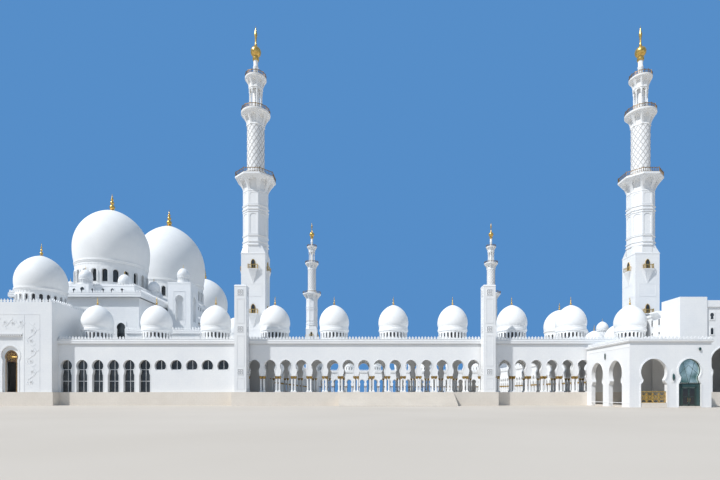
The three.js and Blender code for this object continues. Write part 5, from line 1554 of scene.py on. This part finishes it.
def build_door_frame():
    low, head, v = WING_FLOOR + SEAT, DOOR_TOP + DOOR_GAP, DOOR_FRAME_V
    middle, post = (v[0] + v[1]) / 2, DOORWAY_HALF + 0.16
    outline = wing_arch(DOOR_ARCH, low, shrink=0.012)
    band = [(x * 0.955, z if z < 1 else z - 0.045 * (z - DOOR_ARCH["centre_z"])) for x, z in outline]
    bars = [arch_rim(band, 0.1, v[1], v[1] - v[0]), box((-2.38, 2.38), v, (head, head + 0.28)),
            box((-2.2, 2.2), v, (WING_IMPOST, 5.26)), twin_boxes(post, 2.38, v, (low, low + 0.2)),
            twin_boxes(DOORWAY_HALF, post, v, (low, WING_IMPOST))]
    for side in BOTH:
        bars.append(rod((side * 0.02, middle, 5.26), (side * 1.25, middle, 9.9), 0.06))
        bars.append(rod((side * 2.0, middle, 7.3), (side * 0.03, middle, 9.2), 0.06))
    thin = (v[0] + 0.09, v[0] + 0.15)
    fan = prism([(x * 0.97, z) for x, z in outline if z > 5.2], *thin)
    panes = [box(about(0, DOORWAY_HALF), thin, (head + 0.25, 5.15)),
             twin_boxes(DOORWAY_HALF + 0.1, 2.36, thin, (low + 0.1, 5.15))]
    piece("wing_door_bars", moved(merge(bars), DOOR_U), FRAME_METAL, "wing_door_frame")
    piece("wing_door_fanlight", moved(fan, DOOR_U), MIRROR_GLASS)
    piece("wing_door_panes", moved(merge(panes), DOOR_U), TEAL_GLASS)


def build_door_leaf(label, side):
    hinge, free = side * (DOORWAY_HALF - DOOR_GAP), side * DOOR_GAP / 2
    u, v, rail = ordered(hinge, free), (DOOR_AXIS_V, DOOR_AXIS_V + DOOR_THICK), DOOR_RAIL
    low, top = WING_FLOOR + DOOR_GAP, DOOR_TOP
    parts = [box(u, v, z) for z in ((low, low + 0.28), (top - rail, top), (2.25, 2.36))]
    parts += [box(span, v, (low, top)) for span in ((u[0], u[0] + rail), (u[1] - rail, u[1]))]
    for z in ((WING_FLOOR + SEAT, WING_FLOOR + 2 * DOOR_GAP), (top - DOOR_GAP, top + DOOR_GAP - SEAT)):
        parts.append(moved(lathe(stepped((PIVOT_RADIUS, *z)), 12), hinge, DOOR_AXIS_V))
    pane = box(grown(u, 0.02 - rail), grown(v, -0.03), (low + 0.2, top - rail + 0.02))
    grip, grip_v = free + side * 0.2, v[0] - 0.07
    handle = [rod((grip, grip_v, 1.2), (grip, grip_v, 2.15), 0.022, 8)]
    handle += [rod((grip, grip_v, z), (grip, v[0] + 0.01, z), 0.016) for z in (1.3, 2.05)]
    body = "door_" + label
    piece(body + "_frame", moved(merge(parts), DOOR_U), FRAME_METAL, "wing_" + body, body)
    piece(body + "_glass", moved(pane, DOOR_U), DOOR_GLASS, body=body)
    piece(body + "_handle", moved(merge(handle), DOOR_U), GOLD, body=body)


# Pylons: square posts with three carved squares and upright panels between them
SQUARE_HALF = 0.62


def pylon():
    """Stone and the dark grey plates behind the carved squares."""
    half, top, square = PYLON_HALF, PYLON_TOP, SQUARE_HALF
    parts = [flat_sided([(half, LOW), (half, top - 0.45), (half + 0.05, top - 0.4), (half + 0.05, top - 0.25),
                         (half - 0.1, top)], 4)]
    square_backing, line = [], (-0.05, 0.05)
    for z in (8.5, 19.3, 28.6):
        cell = prism([(0.2 * x, z + 0.2 * y) for x, y in circle(8)], *line)
        carved = [panel(square, z - square, z + square, 0.16, 0.14, z),
                  box(about(0, square), line, about(z, 0.05)), box(line, line, about(z, square)),
                  copies_at(cell, [(a * 0.31, 0, b * 0.31) for a in BOTH for b in BOTH])]
        parts.append(to_each_side(merge(carved), half))
        # Each carved square gets a dark grey plate behind it.
        square_backing.append(to_each_side(box((-0.6, 0.6), (-0.025, 0.02), about(z, 0.6)), half))
    for low, high in ((10.2, 17.6), (21.0, 26.9), (4.4, 6.9)):
        parts.append(to_each_side(panel(0.8, low, high, 0.2, 0.1), half))
    return merge(parts), merge(square_backing)


def build_pylons():
    unit, square_backing = pylon()
    for row, side in SIDES.items():
        for end, place in PYLON_PLACES_U.items():
            name = f"{row}_{end}_pylon"
            piece(name + "_stonework", moved(unit, place, side * PYLON_V), MARBLE, name)
            piece(name + "_inlay", moved(square_backing, place, side * PYLON_V), SQUARE_GREY)


def finish_base():
    """Materials of the solids that stay as they are."""
    for name in ("podium", "wing_floor"):
        solid = bpy.data.objects[name]
        solid.data.materials.clear()
        solid.data.materials.append(PALE_STONE[0])


# Light, floor and camera
SUN_DIRECTION = (-0.545, -0.341, 0.766)
SUN_POWER = 3.9
SUN_COLOR = (0.985, 0.985, 0.98)
SKY_LIGHT = (0.28, 0.38, 0.52, 1)
SKY_BACKDROP = (0.095, 0.27, 0.58, 1)
FLOOR_COLORS = (0.54, 0.48, 0.41), (0.58, 0.52, 0.45)
FLOOR_HALF = 220
FLOOR_DROP = 0.0005
CAMERA_PLACE = (0.755, -21.8, 0.304)
CAMERA_SHIFT = (-0.0011, 0.2132)


def add_camera():
    camera = bpy.data.cameras.new("camera")
    camera.lens = 24
    camera.sensor_width = 36
    camera.shift_x, camera.shift_y = CAMERA_SHIFT
    camera.clip_end = 500
    obj = link(bpy.data.objects.new("camera", camera))
    obj.location = CAMERA_PLACE
    obj.rotation_euler = (QUARTER, 0, 0)
    bpy.context.scene.camera = obj


def add_sun():
    light = bpy.data.lights.new("sun", "SUN")
    light.energy = SUN_POWER
    light.color = SUN_COLOR
    light.angle = math.radians(1.5)
    obj = link(bpy.data.objects.new("sun", light))
    obj.rotation_euler = mathutils.Vector(SUN_DIRECTION).to_track_quat("Z", "Y").to_euler()


def set_sky():
    """A pale sky lights the part, and the camera sees a deeper blue one."""
    world = bpy.data.worlds.new("sky")
    bpy.context.scene.world = world
    world.use_nodes = True
    tree = world.node_tree
    light = tree.nodes["Background"]
    light.inputs["Color"].default_value = SKY_LIGHT
    backdrop = tree.nodes.new("ShaderNodeBackground")
    backdrop.inputs["Color"].default_value = SKY_BACKDROP
    mix = tree.nodes.new("ShaderNodeMixShader")
    seen = tree.nodes.new("ShaderNodeLightPath").outputs["Is Camera Ray"]
    for socket, source in zip(mix.inputs, (seen, light.outputs[0], backdrop.outputs[0])):
        tree.links.new(source, socket)
    tree.links.new(mix.outputs[0], tree.nodes["World Output"].inputs["Surface"])
    bpy.context.scene.view_settings.view_transform = "Standard"


def add_floor():
    mesh = bpy.data.meshes.new("floor")
    half = FLOOR_HALF
    corners = [(-half, -half, 0), (half, -half, 0), (half, half, 0), (-half, half, 0)]
    mesh.from_pydata(corners, [], [(0, 1, 2, 3)])
    nodes = Nodes("floor_paint")
    clouds = nodes.noise(Scale=0.4, Detail=3.0)
    color = nodes.ramp(clouds, *zip((0.3, 0.7), FLOOR_COLORS))
    nodes.set(nodes.shader.inputs["Base Color"], color)
    nodes.shader.inputs["Roughness"].default_value = 0.8
    mesh.materials.append(nodes.material)
    obj = link(bpy.data.objects.new("floor", mesh))
    obj.location.z = -FLOOR_DROP


for build in (build_arcades, build_roofs, build_minarets, build_great_domes, build_hall, build_upper_hall,
              build_towers, build_west_windows, build_pylons, build_far_galleries, build_portals,
              build_gatehouses, build_east_entrance, build_east_gate, build_wings, build_door_frame):
    build()
build_door_leaf("west", -1)
build_door_leaf("east", 1)
finish_base()
add_floor()
add_camera()
add_sun()
set_sky()
